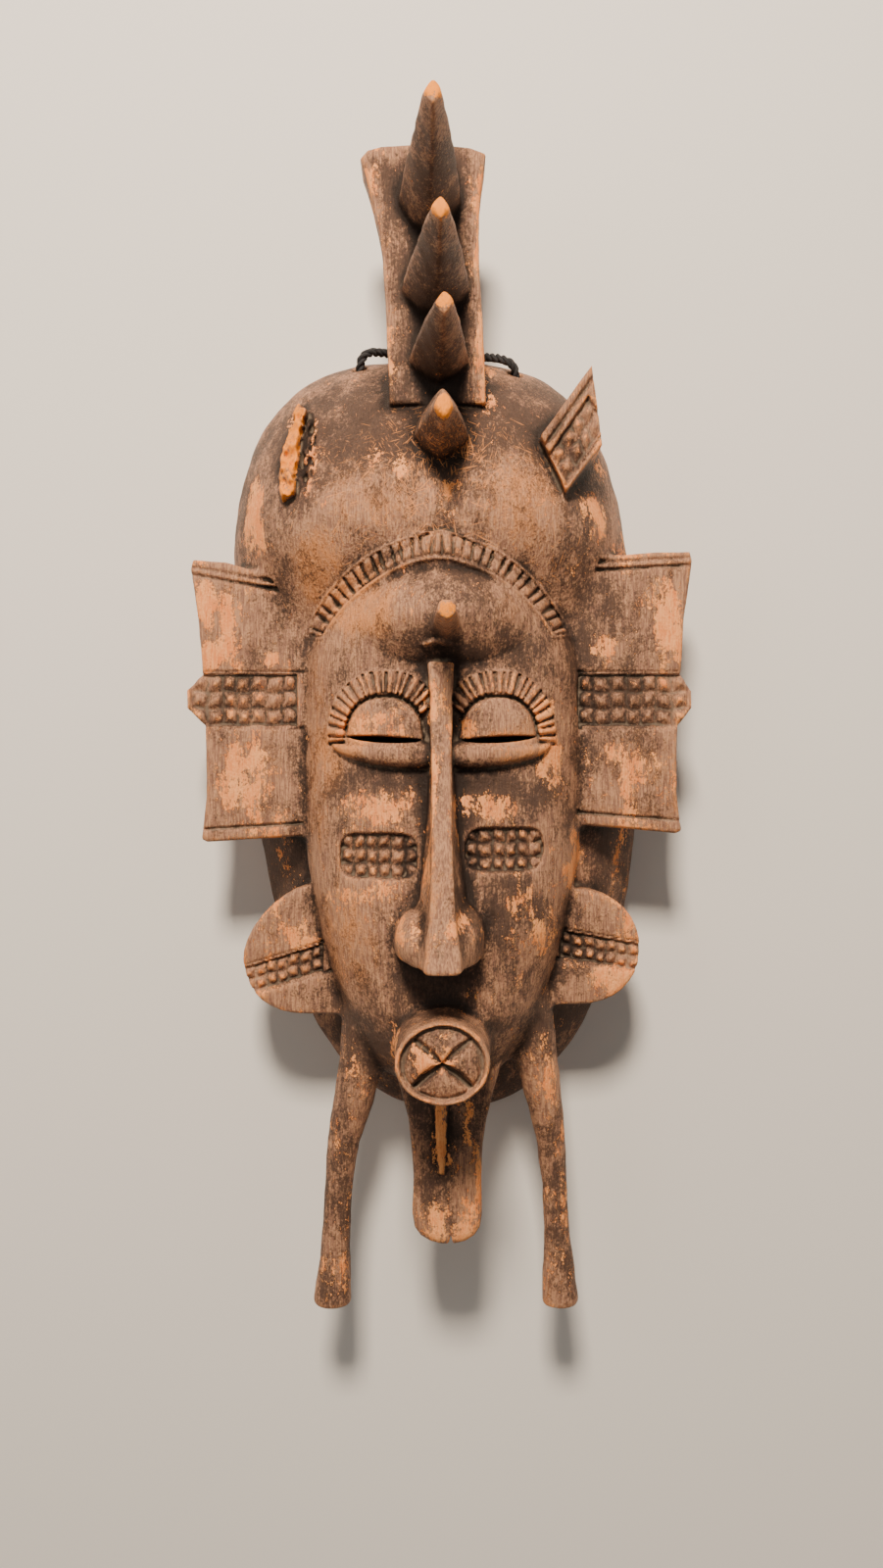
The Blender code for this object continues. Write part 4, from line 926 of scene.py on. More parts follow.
@dataclass
class Wing:
    """A flat wing beside the eye, with a band of pyramids and grooved edges."""

    side: Side
    front: float = 37.0
    thickness: float = 10.0
    root: float = 38.0
    reach: float = 76.2
    flare: float = 3.6
    band: Place = (35.2, 18.2)

    def ends(self) -> Place:
        """Levels of the outer corners at the top and the bottom."""
        return (71.4, -18.6) if self.side is Side.LEFT else (74.0, -15.8)

    def outline(self) -> list[Place]:
        """The outline, from the root along the top and back along the bottom.

        Returns:
            The outline's corners.
        """
        left = self.side is Side.LEFT
        top, bottom = self.ends()
        drop, rise = (8.6, 2.4) if left else (2.4, 3.4)
        bump = self.reach + (4.8 if left else 3.3)
        high, low = self.band
        wide = self.reach + self.flare
        places = [
            (self.root, top - drop),
            (lerp(self.root, self.reach, 0.55), top - drop * 0.42),
            (lerp(self.root, self.reach, 0.8), top - drop * 0.1),
            (wide - 0.8, top), (wide, top - 3.0), (wide - 0.8, top - 9.0),
            (self.reach + self.flare * 0.3, lerp(top, high, 0.55)),
            (self.reach - 0.2, high - 0.2), (bump, high - 5.4), (bump, low + 5.8),
            (self.reach - 1.0, low + 0.2), (self.reach - 1.4, lerp(low, bottom, 0.6)),
            (self.reach - 0.4, bottom + 5.0), (self.reach + 0.2, bottom + 1.0),
            (self.reach - 1.6, bottom), (self.root, bottom + rise),
        ]
        return [(self.side.value * x, y) for x, y in places]

    def carve(self, block: WoodBlock) -> None:
        """Leave the wing standing and cut its patterns.

        Args:
            block: The block it is carved from.
        """
        sign, left = self.side.value, self.side is Side.LEFT
        plate = Plate(self.outline(), self.front, self.thickness, worn=1.5, seed=3.0 + sign)
        w = plate.carve(block, 2.6)
        inner, outer = (46.2, 79.4) if left else (43.6, 78.6)
        high, low = self.band
        corner = (sign * inner, high - 0.6)
        row_way, column_way = (sign * (outer - inner), 0.0), (0.0, low - high + 1.2)
        patch = Patch(corner, row_way, column_way, rows=3, columns=7, depth=2.0, top=0.6)
        drop = patch.drop(w.x, w.y)
        root, far = sign * (inner - 2.0), sign * (outer + 6.0)
        for level, tilt in ((high + 0.4, -0.2), (low - 0.5, 0.3)):
            groove = line_drop(w.x, w.y, (root, level), (far, level + tilt), width=1.3, depth=1.1)
            drop = np.maximum(drop, groove)
        top, bottom = self.ends()
        slope, rise = (6.4, 1.9) if left else (1.8, 2.7)
        for inset, deep in ((2.3, 0.9), (4.8, 1.5)):
            start, end = (root, top - slope - inset), (sign * (self.reach + 6.0), top - inset * 0.9)
            drop = np.maximum(drop, line_drop(w.x, w.y, start, end, width=1.5, depth=deep))
        start, end = (root, bottom + rise + 4.2), (sign * (self.reach + 2.0), bottom + 4.0)
        drop = np.maximum(drop, line_drop(w.x, w.y, start, end, width=1.6, depth=1.4))
        block.lower(w, np.full(drop.shape, self.front - 0.1), drop)


@dataclass
class EarTab:
    """A round-ended tab beside the cheek, with a slanting band of pyramids between two grooves."""

    side: Side
    front: float = 36.0
    thickness: float = 10.0
    root: float = 28.0
    centre: float = 42.5
    round_reach: float = 20.8
    low_rise: float = 18.4
    band_height: float = 8.6

    def carve(self, block: WoodBlock) -> None:
        """Leave the tab standing and cut its band.

        Args:
            block: The block it is carved from.
        """
        sign, left = self.side.value, self.side is Side.LEFT
        middle = -55.0 if left else -52.0
        rise, rounding = (22.8, 1.25) if left else (18.8, 0.96)
        places = [(self.root, middle + rise * 0.99)]
        for k in range(17):
            angle = lerp(math.radians(84.0), math.radians(-90.0), k / 16.0)
            c, s = abs(math.cos(angle)), math.sin(angle)
            power = rounding if s > 0.0 else 0.9
            high = rise if s > 0.0 else self.low_rise
            places.append((self.centre + self.round_reach * c ** power,
                           middle + high * math.copysign(abs(s) ** power, s)))
        places.append((self.root, middle - self.low_rise))
        outline = [(sign * x, y) for x, y in places]
        w = Plate(outline, self.front, self.thickness, worn=1.5, seed=7.0 + sign).carve(block, 2.4)
        slope = math.tan(math.radians(17.0 if left else 10.0))
        level = (-55.4 if left else -51.0) + self.band_height / 2.0
        start, reach = self.centre - 4.4, 25.0
        corner = (sign * start, level - 0.2)
        row_way, column_way = (sign * reach, -slope * reach), (0.0, -self.band_height + 0.6)
        patch = Patch(corner, row_way, column_way, rows=2, columns=7, depth=2.0, top=0.5)
        drop = patch.drop(w.x, w.y)
        for shift in (0.9, -self.band_height - 0.5):
            near = (sign * (start - 6.0), level + shift + 6.0 * slope)
            far = (sign * (start + 32.0), level + shift - 32.0 * slope)
            drop = np.maximum(drop, line_drop(w.x, w.y, near, far, width=1.2, depth=1.0))
        block.lower(w, np.full(drop.shape, self.front - 0.1), drop)


@dataclass(frozen=True)
class Horn:
    """A thorn on the crest: its foot, half the foot's width and height, and its tip."""

    foot: Point
    half: Place
    tip: Point


@dataclass
class Crest:
    """The upright plate on the shell's top, chipped at its left corner, with four horns up its front."""

    top: float = 199.0
    foot: float = 118.0
    front: float = 45.0
    thickness: float = 15.0
    half: float = 15.1
    flare: float = 5.8
    flare_from: float = 160.0
    lean: Place = (-1.2, -6.4)
    chip_at: Point = (-26.5, 199.5, 46.0)
    chip_reach: float = 4.4
    belly: float = 0.3
    horn_power: float = 1.36
    horns: tuple[Horn, ...] = (
        Horn((-4.0, 183.4, 38.0), (10.0, 14.6), (-2.2, 186.0, 94.9)),
        Horn((-2.2, 156.0, 38.0), (11.0, 12.8), (-0.1, 157.2, 90.0)),
        Horn((-1.0, 134.0, 38.0), (9.8, 10.6), (0.8, 133.4, 85.0)),
        Horn((-0.4, 109.6, 40.0), (9.4, 12.8), (0.8, 105.8, 82.0)),
    )

    def centre(self, y: float) -> float:
        """The middle line, which leans to the left."""
        t = (y - self.foot) / (self.top - self.foot)
        return lerp(self.lean[0], self.lean[1], t * t * 0.6 + t * 0.4)

    def half_width(self, y: float) -> float:
        """Half the width, flared to the top."""
        t = max(0.0, (y - self.flare_from) / (self.top - self.flare_from))
        return self.half + self.flare * t * t

    def carve(self, block: WoodBlock) -> None:
        """Leave the plate and the horns standing.

        Args:
            block: The block it is carved from.
        """
        levels = [lerp(self.foot, self.top - 3.0, i / 12.0) for i in range(13)]
        left = [(self.centre(y) - self.half_width(y), y) for y in levels]
        right = [(self.centre(y) + self.half_width(y), y) for y in levels]
        middle, half = self.centre(self.top), self.half_width(self.top)
        left[-1] = (left[-1][0] + 0.6, left[-1][1] - 1.6)
        top = [(middle - half * 0.80, self.top - 2.0), (middle - half * 0.60, self.top - 0.9),
               (middle - half * 0.2, self.top - 0.2), (middle + half * 0.25, self.top - 0.1),
               (middle + half * 0.72, self.top - 1.0)]
        plate = Plate(left + top + right[::-1], self.front, self.thickness, worn=1.4, seed=5.0)
        w = plate.carve(block, 1.2)
        x, y, z = self.chip_at
        chip = np.sqrt((w.x - x) ** 2 + (w.y - y) ** 2 + ((w.z - z) * 0.7) ** 2) - self.chip_reach
        block.cut(w, chip + ToolMarks(0.5, 5.0, 2.0).over(w), 0.3)
        for horn in self.horns:
            self.carve_horn(block, horn)

    def carve_horn(self, block: WoodBlock, horn: Horn) -> None:
        """Leave one horn standing: a thorn with a ridge up and down, and a blunt worn tip.

        Args:
            block: The block it is carved from.
            horn: The horn's places and size.
        """
        x, y, foot = horn.foot
        half_x, half_y = horn.half
        tip_x, tip_y, tip_z = horn.tip
        w = block.window((x - half_x - 3.0, y - half_y - 3.0, foot - 4.0),
                         (x + half_x + 3.0, y + half_y + 3.0, tip_z + 2.0))
        t = np.clip((w.z - foot) / (tip_z - foot), 0.0, 1.0)
        swell = 1.0 - t ** 1.35
        wide, high = lerp(2.2, half_x, swell), lerp(3.2, half_y, swell)
        dx, dy = w.x - lerp(x, tip_x, t), w.y - lerp(y, tip_y, t) + self.belly * high * swell
        u, v = np.abs(dx) / wide, np.abs(dy) / (high * (1.0 + np.sign(dy) * self.belly * swell))
        power = self.horn_power
        shape = ((u ** power + v ** power) ** (1.0 / power) - 1.0) * np.minimum(wide, high) * 0.75
        shape = shape + ToolMarks(0.28, 13.0, tip_z).over(w)
        shape = soft_max(shape, w.z - tip_z + 0.3 + 0.12 * dy, 1.0)
        block.add(w, np.maximum(shape, foot - 3.0 - w.z), 1.8)


@dataclass
class Beard:
    """The tongue-shaped beard under the mouth, with a thin raised strip down its middle."""

    x: float = 1.8
    top: float = -86.0
    bottom: float = -143.4
    front: float = 46.0
    thickness: float = 13.0
    tip_level: float = -134.0
    tip_half: float = 11.0

    def carve(self, block: WoodBlock) -> None:
        """Leave the beard standing.

        Args:
            block: The block it is carved from.
        """
        rows = [(self.top, 17.4), (-95.0, 14.6), (-104.0, 12.4), (-112.0, 11.3), (-122.0, 10.7),
                (-130.0, 10.9), (self.tip_level, self.tip_half)]
        arc = []
        for k in range(1, 9):
            angle = math.pi * k / 9.0
            drop = (self.bottom - self.tip_level) * math.sin(angle) ** 0.8
            arc.append((self.x + self.tip_half * math.cos(angle), self.tip_level + drop))
        right = [(self.x + half, y) for y, half in rows]
        left = [(self.x - half, y) for y, half in rows]
        outline = right + arc + left[::-1]
        w = Plate(outline, self.front, self.thickness, worn=3.4, seed=9.0).carve(block, 1.2)
        strip = [(-2.6, -98.0), (2.4, -98.0), (1.2, -121.0), (-1.2, -121.0)]
        edge = outline_distance(w.x, w.y, strip)
        rise = 1.7 * ease(-edge / 0.8) * (edge < 0.0)
        block.raise_up(w, np.full(edge.shape, self.front - 0.3), rise, 0.3)
        nick_x, nick_top = 2.9, -139.8
        nick = np.abs(w.x - nick_x) - 0.22 * (nick_top - w.y)
        block.cut(w, np.maximum(nick, w.y - nick_top) + 0.0 * w.z, 0.6)


@dataclass
class Leg:
    """A slender round leg from the shell's lower side down to a flared foot."""

    stations: tuple[Point, ...]
    level: float = 32.0
    foot: float = -166.6

    def carve(self, block: WoodBlock) -> None:
        """Leave the leg standing.

        Args:
            block: The block it is carved from.
        """
        xs = [x for _, x, _ in self.stations]
        w = block.window((min(xs) - 10.0, self.foot - 2.0, self.level - 11.0),
                         (max(xs) + 10.0, self.stations[0][0] + 8.0, self.level + 11.0))
        shape = np.full(np.broadcast(w.x, w.y, w.z).shape, AIR, np.float32)
        for (ay, ax, ar), (by, bx, br) in zip(self.stations, self.stations[1:]):
            ex, ey = bx - ax, by - ay
            t = np.clip(((w.x - ax) * ex + (w.y - ay) * ey) / (ex * ex + ey * ey), 0.0, 1.0)
            off = (w.x - ax - ex * t) ** 2 + (w.y - ay - ey * t) ** 2 + ((w.z - self.level) / 0.97) ** 2
            off = np.sqrt(off)
            shape = np.minimum(shape, (off - lerp(ar, br, t)).astype(np.float32))
        shape = shape + ToolMarks(0.22, 14.0, xs[0]).over(w)
        block.add(w, soft_max(shape, self.foot + 0.1 - w.y + 0.0 * shape, 1.2), 5.0)


@dataclass
class CheekPatch:
    """A patch of small pyramids sunk in the cheek, with rounded ends and a groove round it."""

    skin: Skin
    side: Side
    near: float = 7.2
    far: float = 31.0

    def carve(self, block: WoodBlock) -> None:
        """Cut the patch.

        Args:
            block: The block it is carved from.
        """
        sign, left = self.side.value, self.side is Side.LEFT
        top, bottom = (-14.9, -28.6) if left else (-13.2, -26.4)
        w = block.window((min(sign * self.near, sign * self.far) - 3.0, bottom - 4.0, 36.0),
                         (max(sign * self.near, sign * self.far) + 3.0, top + 4.0, 70.0))
        middle_x, middle_y = sign * (self.near + self.far) / 2.0, (top + bottom) / 2.0
        u = np.abs(w.x - middle_x) / ((self.far - self.near) / 2.0)
        half = (top - bottom) / 2.0 * round_off(u, 5.0, 3.2)
        inside = half - np.abs(w.y - middle_y)
        corner = (sign * self.near, top)
        row_way, column_way = (sign * (self.far - self.near), 0.0), (0.0, bottom - top)
        patch = Patch(corner, row_way, column_way, rows=3, columns=6, depth=2.0, top=0.5)
        cells = patch.drop(w.x, w.y) * ease(inside / 0.6)
        rim = 1.3 * np.maximum(0.0, 1.0 - np.abs(inside - 0.3) / 0.9) * (u < 1.02)
        sunk = 0.35 * ease(inside / 0.8)
        block.lower(w, self.skin.height(w.x, w.y), np.maximum(cells, rim) + sunk)


@dataclass
class Flap:
    """The lozenge flap on the right of the dome, bordered, with pyramids inside the border."""

    corners: tuple[Place, ...] = ((30.2, 106.4), (46.0, 128.2), (49.2, 103.4), (38.0, 89.0))
    front: float = 52.0
    thickness: float = 17.0

    def carve(self, block: WoodBlock) -> None:
        """Leave the flap standing and cut its patterns.

        Args:
            block: The block it is carved from.
        """
        outline = list(self.corners)
        w = Plate(outline, self.front, self.thickness, worn=1.0, seed=4.0).carve(block, 1.6)
        patch = Patch((33.3, 100.7), (11.5, 17.1), (4.9, -8.1), rows=2, columns=4, depth=2.0, top=0.5)
        drop = patch.drop(w.x, w.y)
        borders = (((31.6, 103.0), (46.2, 123.8), 1.9, 1.8), ((38.0, 91.2), (48.6, 106.0), 1.3, 1.3))
        for start, end, width, deep in borders:
            drop = np.maximum(drop, line_drop(w.x, w.y, start, end, width, deep))
        drop = drop + 0.25 * np.maximum(grain(w.x, w.y, (1.1, 1.6), 5), 0.0) * (drop > 0.0)
        block.lower(w, np.full(drop.shape, self.front - 0.1), drop)


STUMP_OUTLINE = ((-45.9, 122.6), (-42.5, 117.4), (-43.4, 111.9), (-43.8, 104.2), (-44.4, 96.1),
                 (-44.6, 88.6), (-49.2, 86.2), (-50.6, 93.9), (-50.8, 101.6), (-49.0, 109.3),
                 (-47.4, 115.5), (-47.4, 119.6))


@dataclass
class Stump:
    """The rough stump where the left flap broke away, with splintered wood beside it."""

    skin: Skin
    outline: tuple[Place, ...] = STUMP_OUTLINE

    def carve(self, block: WoodBlock) -> None:
        """Leave the stump standing, broken off short across the fibres.

        Args:
            block: The block it is carved from.
        """
        w = block.window((-58.0, 80.0, 6.0), (-34.0, 128.0, 54.0))
        edge = outline_distance(w.x, w.y, list(self.outline))
        edge = edge + 0.8 * grain(w.x, w.y, (1.3, 2.0), 11)
        rough = 1.1 * grain(w.x, w.y, (2.4, 3.6), 2) + 1.3 * grain(w.x, w.y, (1.1, 1.5), 3)
        rise = (3.9 + rough + 0.22 * (w.x + 47.0)) * ease(-edge / 0.7) * (edge < 0.0)
        surface = self.skin.height(w.x, w.y)
        block.raise_up(w, surface, rise, 0.2)
        beside = np.maximum(0.0, 1.0 - ((w.x + 41.6) / 2.8) ** 2 - ((w.y - 103.0) / 15.0) ** 2)
        flakes = 0.35 + 0.9 * grain(w.x, w.y, (1.4, 3.6), 6) + 0.5 * grain(w.x, w.y, (0.8, 1.2), 7)
        block.lower(w, surface, 2.4 * np.maximum(0.0, flakes) * ease(beside * 2.0))


@dataclass
class CordHole:
    """A slanting hole through the top of the shell."""

    start: Point
    end: Point
    radius: float = 2.6

    def carve(self, block: WoodBlock) -> None:
        """Bore the hole.

        Args:
            block: The block it is carved from.
        """
        low = tuple(min(a, b) - 5.0 for a, b in zip(self.start, self.end))
        high = tuple(max(a, b) + 5.0 for a, b in zip(self.start, self.end))
        w = block.window(low, high)
        way = np.array(self.end) - np.array(self.start)
        dx, dy, dz = w.x - self.start[0], w.y - self.start[1], w.z - self.start[2]
        t = np.clip((dx * way[0] + dy * way[1] + dz * way[2]) / way.dot(way), 0.0, 1.0)
        off = np.sqrt((dx - way[0] * t) ** 2 + (dy - way[1] * t) ** 2 + (dz - way[2] * t) ** 2)
        block.cut(w, off - self.radius, 0.8)


LEFT_LEG = ((-72.0, -24.0, 7.4), (-90.0, -26.0, 6.9), (-101.0, -28.2, 6.4), (-114.0, -31.4, 5.1),
            (-128.0, -33.0, 4.4), (-142.0, -33.6, 4.4), (-156.0, -34.4, 5.2), (-164.6, -35.0, 5.9),
            (-166.6, -35.0, 5.7))
RIGHT_LEG = ((-70.0, 28.0, 7.4), (-86.0, 30.2, 6.8), (-98.0, 32.4, 6.0), (-112.0, 34.8, 4.7),
             (-128.0, 36.3, 3.9), (-143.0, 37.0, 4.0), (-156.0, 37.6, 5.1), (-164.6, 38.0, 5.7),
             (-166.6, 38.0, 5.5))


# Looks


def rgb(colour: str) -> Rgb:
    """An sRGB hex number as the linear colour a shader takes.

    Args:
        colour: The number, such as "#7A5A44".

    Returns:
        Red, green, blue and alpha.
    """
    parts = [int(colour[i:i + 2], 16) / 255.0 for i in (1, 3, 5)]
    return (*(c / 12.92 if c <= 0.04045 else ((c + 0.055) / 1.055) ** 2.4 for c in parts), 1.0)


@dataclass
class NodeBoard:
    """A material's nodes, while they are being set out."""

    material: bpy.types.Material

    @classmethod
    def start(cls, name: str) -> "NodeBoard":
        """A new material with nothing but its shader and output.

        Args:
            name: The material's name.

        Returns:
            The board that holds its nodes.
        """
        material = bpy.data.materials.new(name)
        material.use_nodes = True
        return cls(material)

    @property
    def shader(self) -> bpy.types.Node:
        """The material's shader."""
        return self.material.node_tree.nodes["Principled BSDF"]

    def add(self, kind: str, inputs: dict, out: int | str = 0, **settings: object) -> Socket:
        """Add a node.

        Args:
            kind: The node's type, without the word ShaderNode.
            inputs: Values or sockets for its inputs, by name or number.
            out: The output to hand back.
            settings: The node's own settings.

        Returns:
            The output socket.
        """
        tree = self.material.node_tree
        node = tree.nodes.new("ShaderNode" + kind)
        for name, value in settings.items():
            setattr(node, name, value)
        for key, value in inputs.items():
            if isinstance(value, Socket):
                tree.links.new(value, node.inputs[key])
            else:
                node.inputs[key].default_value = value
        return node.outputs[out]

    def mix(self, share: Socket, under: Socket | Rgb, over: Socket | Rgb) -> Socket:
        """One colour laid over another by a share.

        Args:
            share: How much of the upper colour shows.
            under: The lower colour.
            over: The upper colour.

        Returns:
            The mixed colour.
        """
        return self.add("Mix", {0: share, 6: under, 7: over}, 2, data_type="RGBA")

    def total(self, parts: list[tuple[Socket, float]], base: float = 0.0) -> Socket:
        """The sum of a base and of each value times its weight.

        Args:
            parts: The values and their weights.
            base: What the sum starts from.

        Returns:
            The sum.
        """
        value: Socket | float = base
        for part, weight in parts:
            value = self.add("Math", {0: part, 1: weight, 2: value}, operation="MULTIPLY_ADD")
        return value

    def ramp(self, value: Socket, low: float, high: float, most: float = 1.0) -> Socket:
        """A share that rises softly from 0 at the low value to its most at the high one."""
        inputs = {"Value": value, "From Min": low, "From Max": high, "To Max": most}
        return self.add("MapRange", inputs, interpolation_type="SMOOTHSTEP")

    def noise(self, size: Point, detail: float, roughness: float, seed: float = 0.0,
              turn: float = 0.0) -> Socket:
        """Noise whose features have the given size.

        Args:
            size: Length of the features along X, Y and Z in millimetres.
            detail: How many finer layers it has.
            roughness: How strong the finer layers are.
            seed: Shifts the noise.
            turn: Angle in degrees by which the features are turned about Z.

        Returns:
            The noise, about 0.5 in the middle.
        """
        place = self.add("TexCoord", {}, "Object")
        if turn:
            inputs = {"Vector": place, "Angle": math.radians(turn)}
            place = self.add("VectorRotate", inputs, rotation_type="Z_AXIS")
        inputs = {0: place, 1: tuple(1.0 / (MM * s) for s in size), 2: (seed, seed, seed)}
        scaled = self.add("VectorMath", inputs, operation="MULTIPLY_ADD")
        inputs = {"Vector": scaled, "Scale": 1.0, "Detail": detail, "Roughness": roughness}
        return self.add("TexNoise", inputs)


@dataclass(frozen=True)
class AgedWood:
    """Carved wood under a dark, smoked and handled patina, flaked off to bare wood in places, with painted
    shade in its nooks and under its overhangs.
    """

    brown: str = "#8B6451"
    light_brown: str = "#C08F6C"
    rubbed: str = "#DE9257"
    # The darkest brown is painted shade, laid into nooks and sheltered places
    smoked: str = "#42332C"
    painted_nook_shade: str = "#211915"
    dust: str = "#A08C76"
    bare: str = "#E8874A"
    bare_light: str = "#FFB271"
    raw: str = "#FF9628"

    def build(self) -> bpy.types.Material:
        """Make the material.

        Returns:
            The material.
        """
        board = NodeBoard.start("smoked_worn_and_shaded_carved_wood")
        mark = {name: board.add("Attribute", {}, "Fac", attribute_name=name)
                for name in ("edge", "nook", "shelter", "bare", "rub", "soot_and_shade", "raw", "scratch")}
        # Fibres run up the mask; they and the grit are drawn a little coarser than real, so that they show.
        fibre = board.noise((0.55, 6.0, 0.7), 5.0, 0.68)
        streak = board.noise((2.4, 26.0, 3.0), 5.0, 0.65, 3.0)
        cloud = board.noise((26.0, 34.0, 26.0), 6.0, 0.62, 7.0)
        blotch = board.noise((7.0, 11.0, 7.0), 7.0, 0.68, 11.0)
        speck = board.noise((1.1, 1.7, 1.1), 5.0, 0.7, 17.0)
        flake = board.noise((7.0, 11.0, 7.0), 9.0, 0.72, 23.0)
        grit = board.noise((0.55, 0.8, 0.55), 3.0, 0.7, 29.0)

        colour = board.mix(board.ramp(fibre, 0.38, 0.62), rgb(self.brown), rgb(self.light_brown))
        rub = board.total([(mark["rub"], 0.95), (blotch, 1.8), (streak, 1.2), (mark["edge"], 2.4),
                           (speck, 1.3)], -2.4)
        colour = board.mix(board.ramp(rub, 0.05, 0.9, 0.85), colour, rgb(self.rubbed))

        # Smoke and handling darkened the wood most where nothing rubs it. The soot-and-shade mark darkens
        # it further, and under overhangs that darkening is painted shade.
        smoke = board.total([(cloud, 2.2), (blotch, 2.4), (streak, 1.0), (speck, 2.0), (grit, 1.9),
                             (mark["soot_and_shade"], 0.6), (mark["shelter"], 1.6), (mark["rub"], -0.34),
                             (mark["edge"], -1.5)], -4.62)
        colour = board.mix(board.ramp(smoke, -0.3, 0.55, 0.88), colour, rgb(self.smoked))
        # Painted shade: the darkest brown is laid into nooks and sheltered places, where shade falls.
        painted_nook_shade = board.total([(mark["shelter"], 2.4), (mark["nook"], 4.6), (mark["soot_and_shade"], 0.5),
                             (speck, 0.9), (blotch, 0.9), (grit, 0.5)], -1.12)
        colour = board.mix(board.ramp(painted_nook_shade, 0.25, 1.05, 0.88), colour, rgb(self.painted_nook_shade))

        # Hair scratches cross the top of the bowl at all angles, drawn wider than real, so that they show.
        for turn in (-68.0, -35.0, -8.0, 17.0, 44.0, 73.0):
            hair = board.noise((0.42, 9.0, 1.6), 1.5, 0.5, turn, turn)
            here = board.noise((10.0, 12.0, 10.0), 2.0, 0.6, turn + 5.0)
            cut = board.total([(hair, 7.0), (mark["scratch"], 1.3), (here, 3.0)], -7.3)
            colour = board.mix(board.ramp(cut, 0.0, 0.6, 0.7), colour, rgb(self.rubbed))

        # Pale dust lies in the cuts and small nooks.
        dust = board.total([(mark["nook"], 7.0), (speck, 1.8), (mark["soot_and_shade"], -0.3),
                            (mark["shelter"], -3.0)], -1.2)
        colour = board.mix(board.ramp(dust, 0.25, 1.1, 0.36), colour, rgb(self.dust))

        # The patina flakes off with a crisp edge.
        loss = board.total([(flake, 1.25), (streak, 0.4), (speck, 0.75), (grit, 0.35),
                            (mark["bare"], 0.34), (mark["edge"], 0.65), (mark["soot_and_shade"], -0.05)], -0.955)
        flaked = board.ramp(loss, 0.615, 0.645)
        light = board.ramp(board.total([(fibre, 0.6), (blotch, 0.5), (grit, 0.4)]), 0.6, 0.9)
        colour = board.mix(flaked, colour, board.mix(light, rgb(self.bare), rgb(self.bare_light)))

        # The tips and the stump show fresh orange wood.
        fresh = board.total([(mark["raw"], 0.8), (speck, 0.9), (flake, 0.5)])
        colour = board.mix(board.ramp(fresh, 1.27, 1.36), colour, rgb(self.raw))

        # The dry patina has a dull sheen; bare wood is rougher and lies a little lower.
        rough = board.add("MapRange", {"Value": flaked, "To Min": 0.50, "To Max": 0.72})
        relief = board.total([(fibre, 0.7), (speck, 0.9), (grit, 0.6), (flaked, -0.45), (blotch, 0.6)])
        bump = board.add("Bump", {"Height": relief, "Strength": 0.9, "Distance": 0.6 * MM})
        tree = board.material.node_tree
        tree.links.new(colour, board.shader.inputs["Base Color"])
        tree.links.new(rough, board.shader.inputs["Roughness"])
        tree.links.new(bump, board.shader.inputs["Normal"])
        board.shader.inputs["Specular IOR Level"].default_value = 0.2
        return board.material


@dataclass(frozen=True)
class TwistedCord:
    """Black twisted cord, a little dusty."""

    black: str = "#1B1A1D"
    dusty: str = "#3A3838"

    def build(self) -> bpy.types.Material:
        """Make the material.

        Returns:
            The material.
        """
        board = NodeBoard.start("black_twisted_cord")
        # The fibres are drawn coarser than real, so that they show as a dull, broken black.
        fibre = board.noise((0.35, 0.35, 0.35), 3.0, 0.6)
        colour = board.mix(board.ramp(fibre, 0.45, 0.75), rgb(self.black), rgb(self.dusty))
        bump = board.add("Bump", {"Height": fibre, "Strength": 0.5, "Distance": 0.2 * MM})
        tree = board.material.node_tree
        tree.links.new(colour, board.shader.inputs["Base Color"])
        tree.links.new(bump, board.shader.inputs["Normal"])
        board.shader.inputs["Roughness"].default_value = 0.8
        return board.material
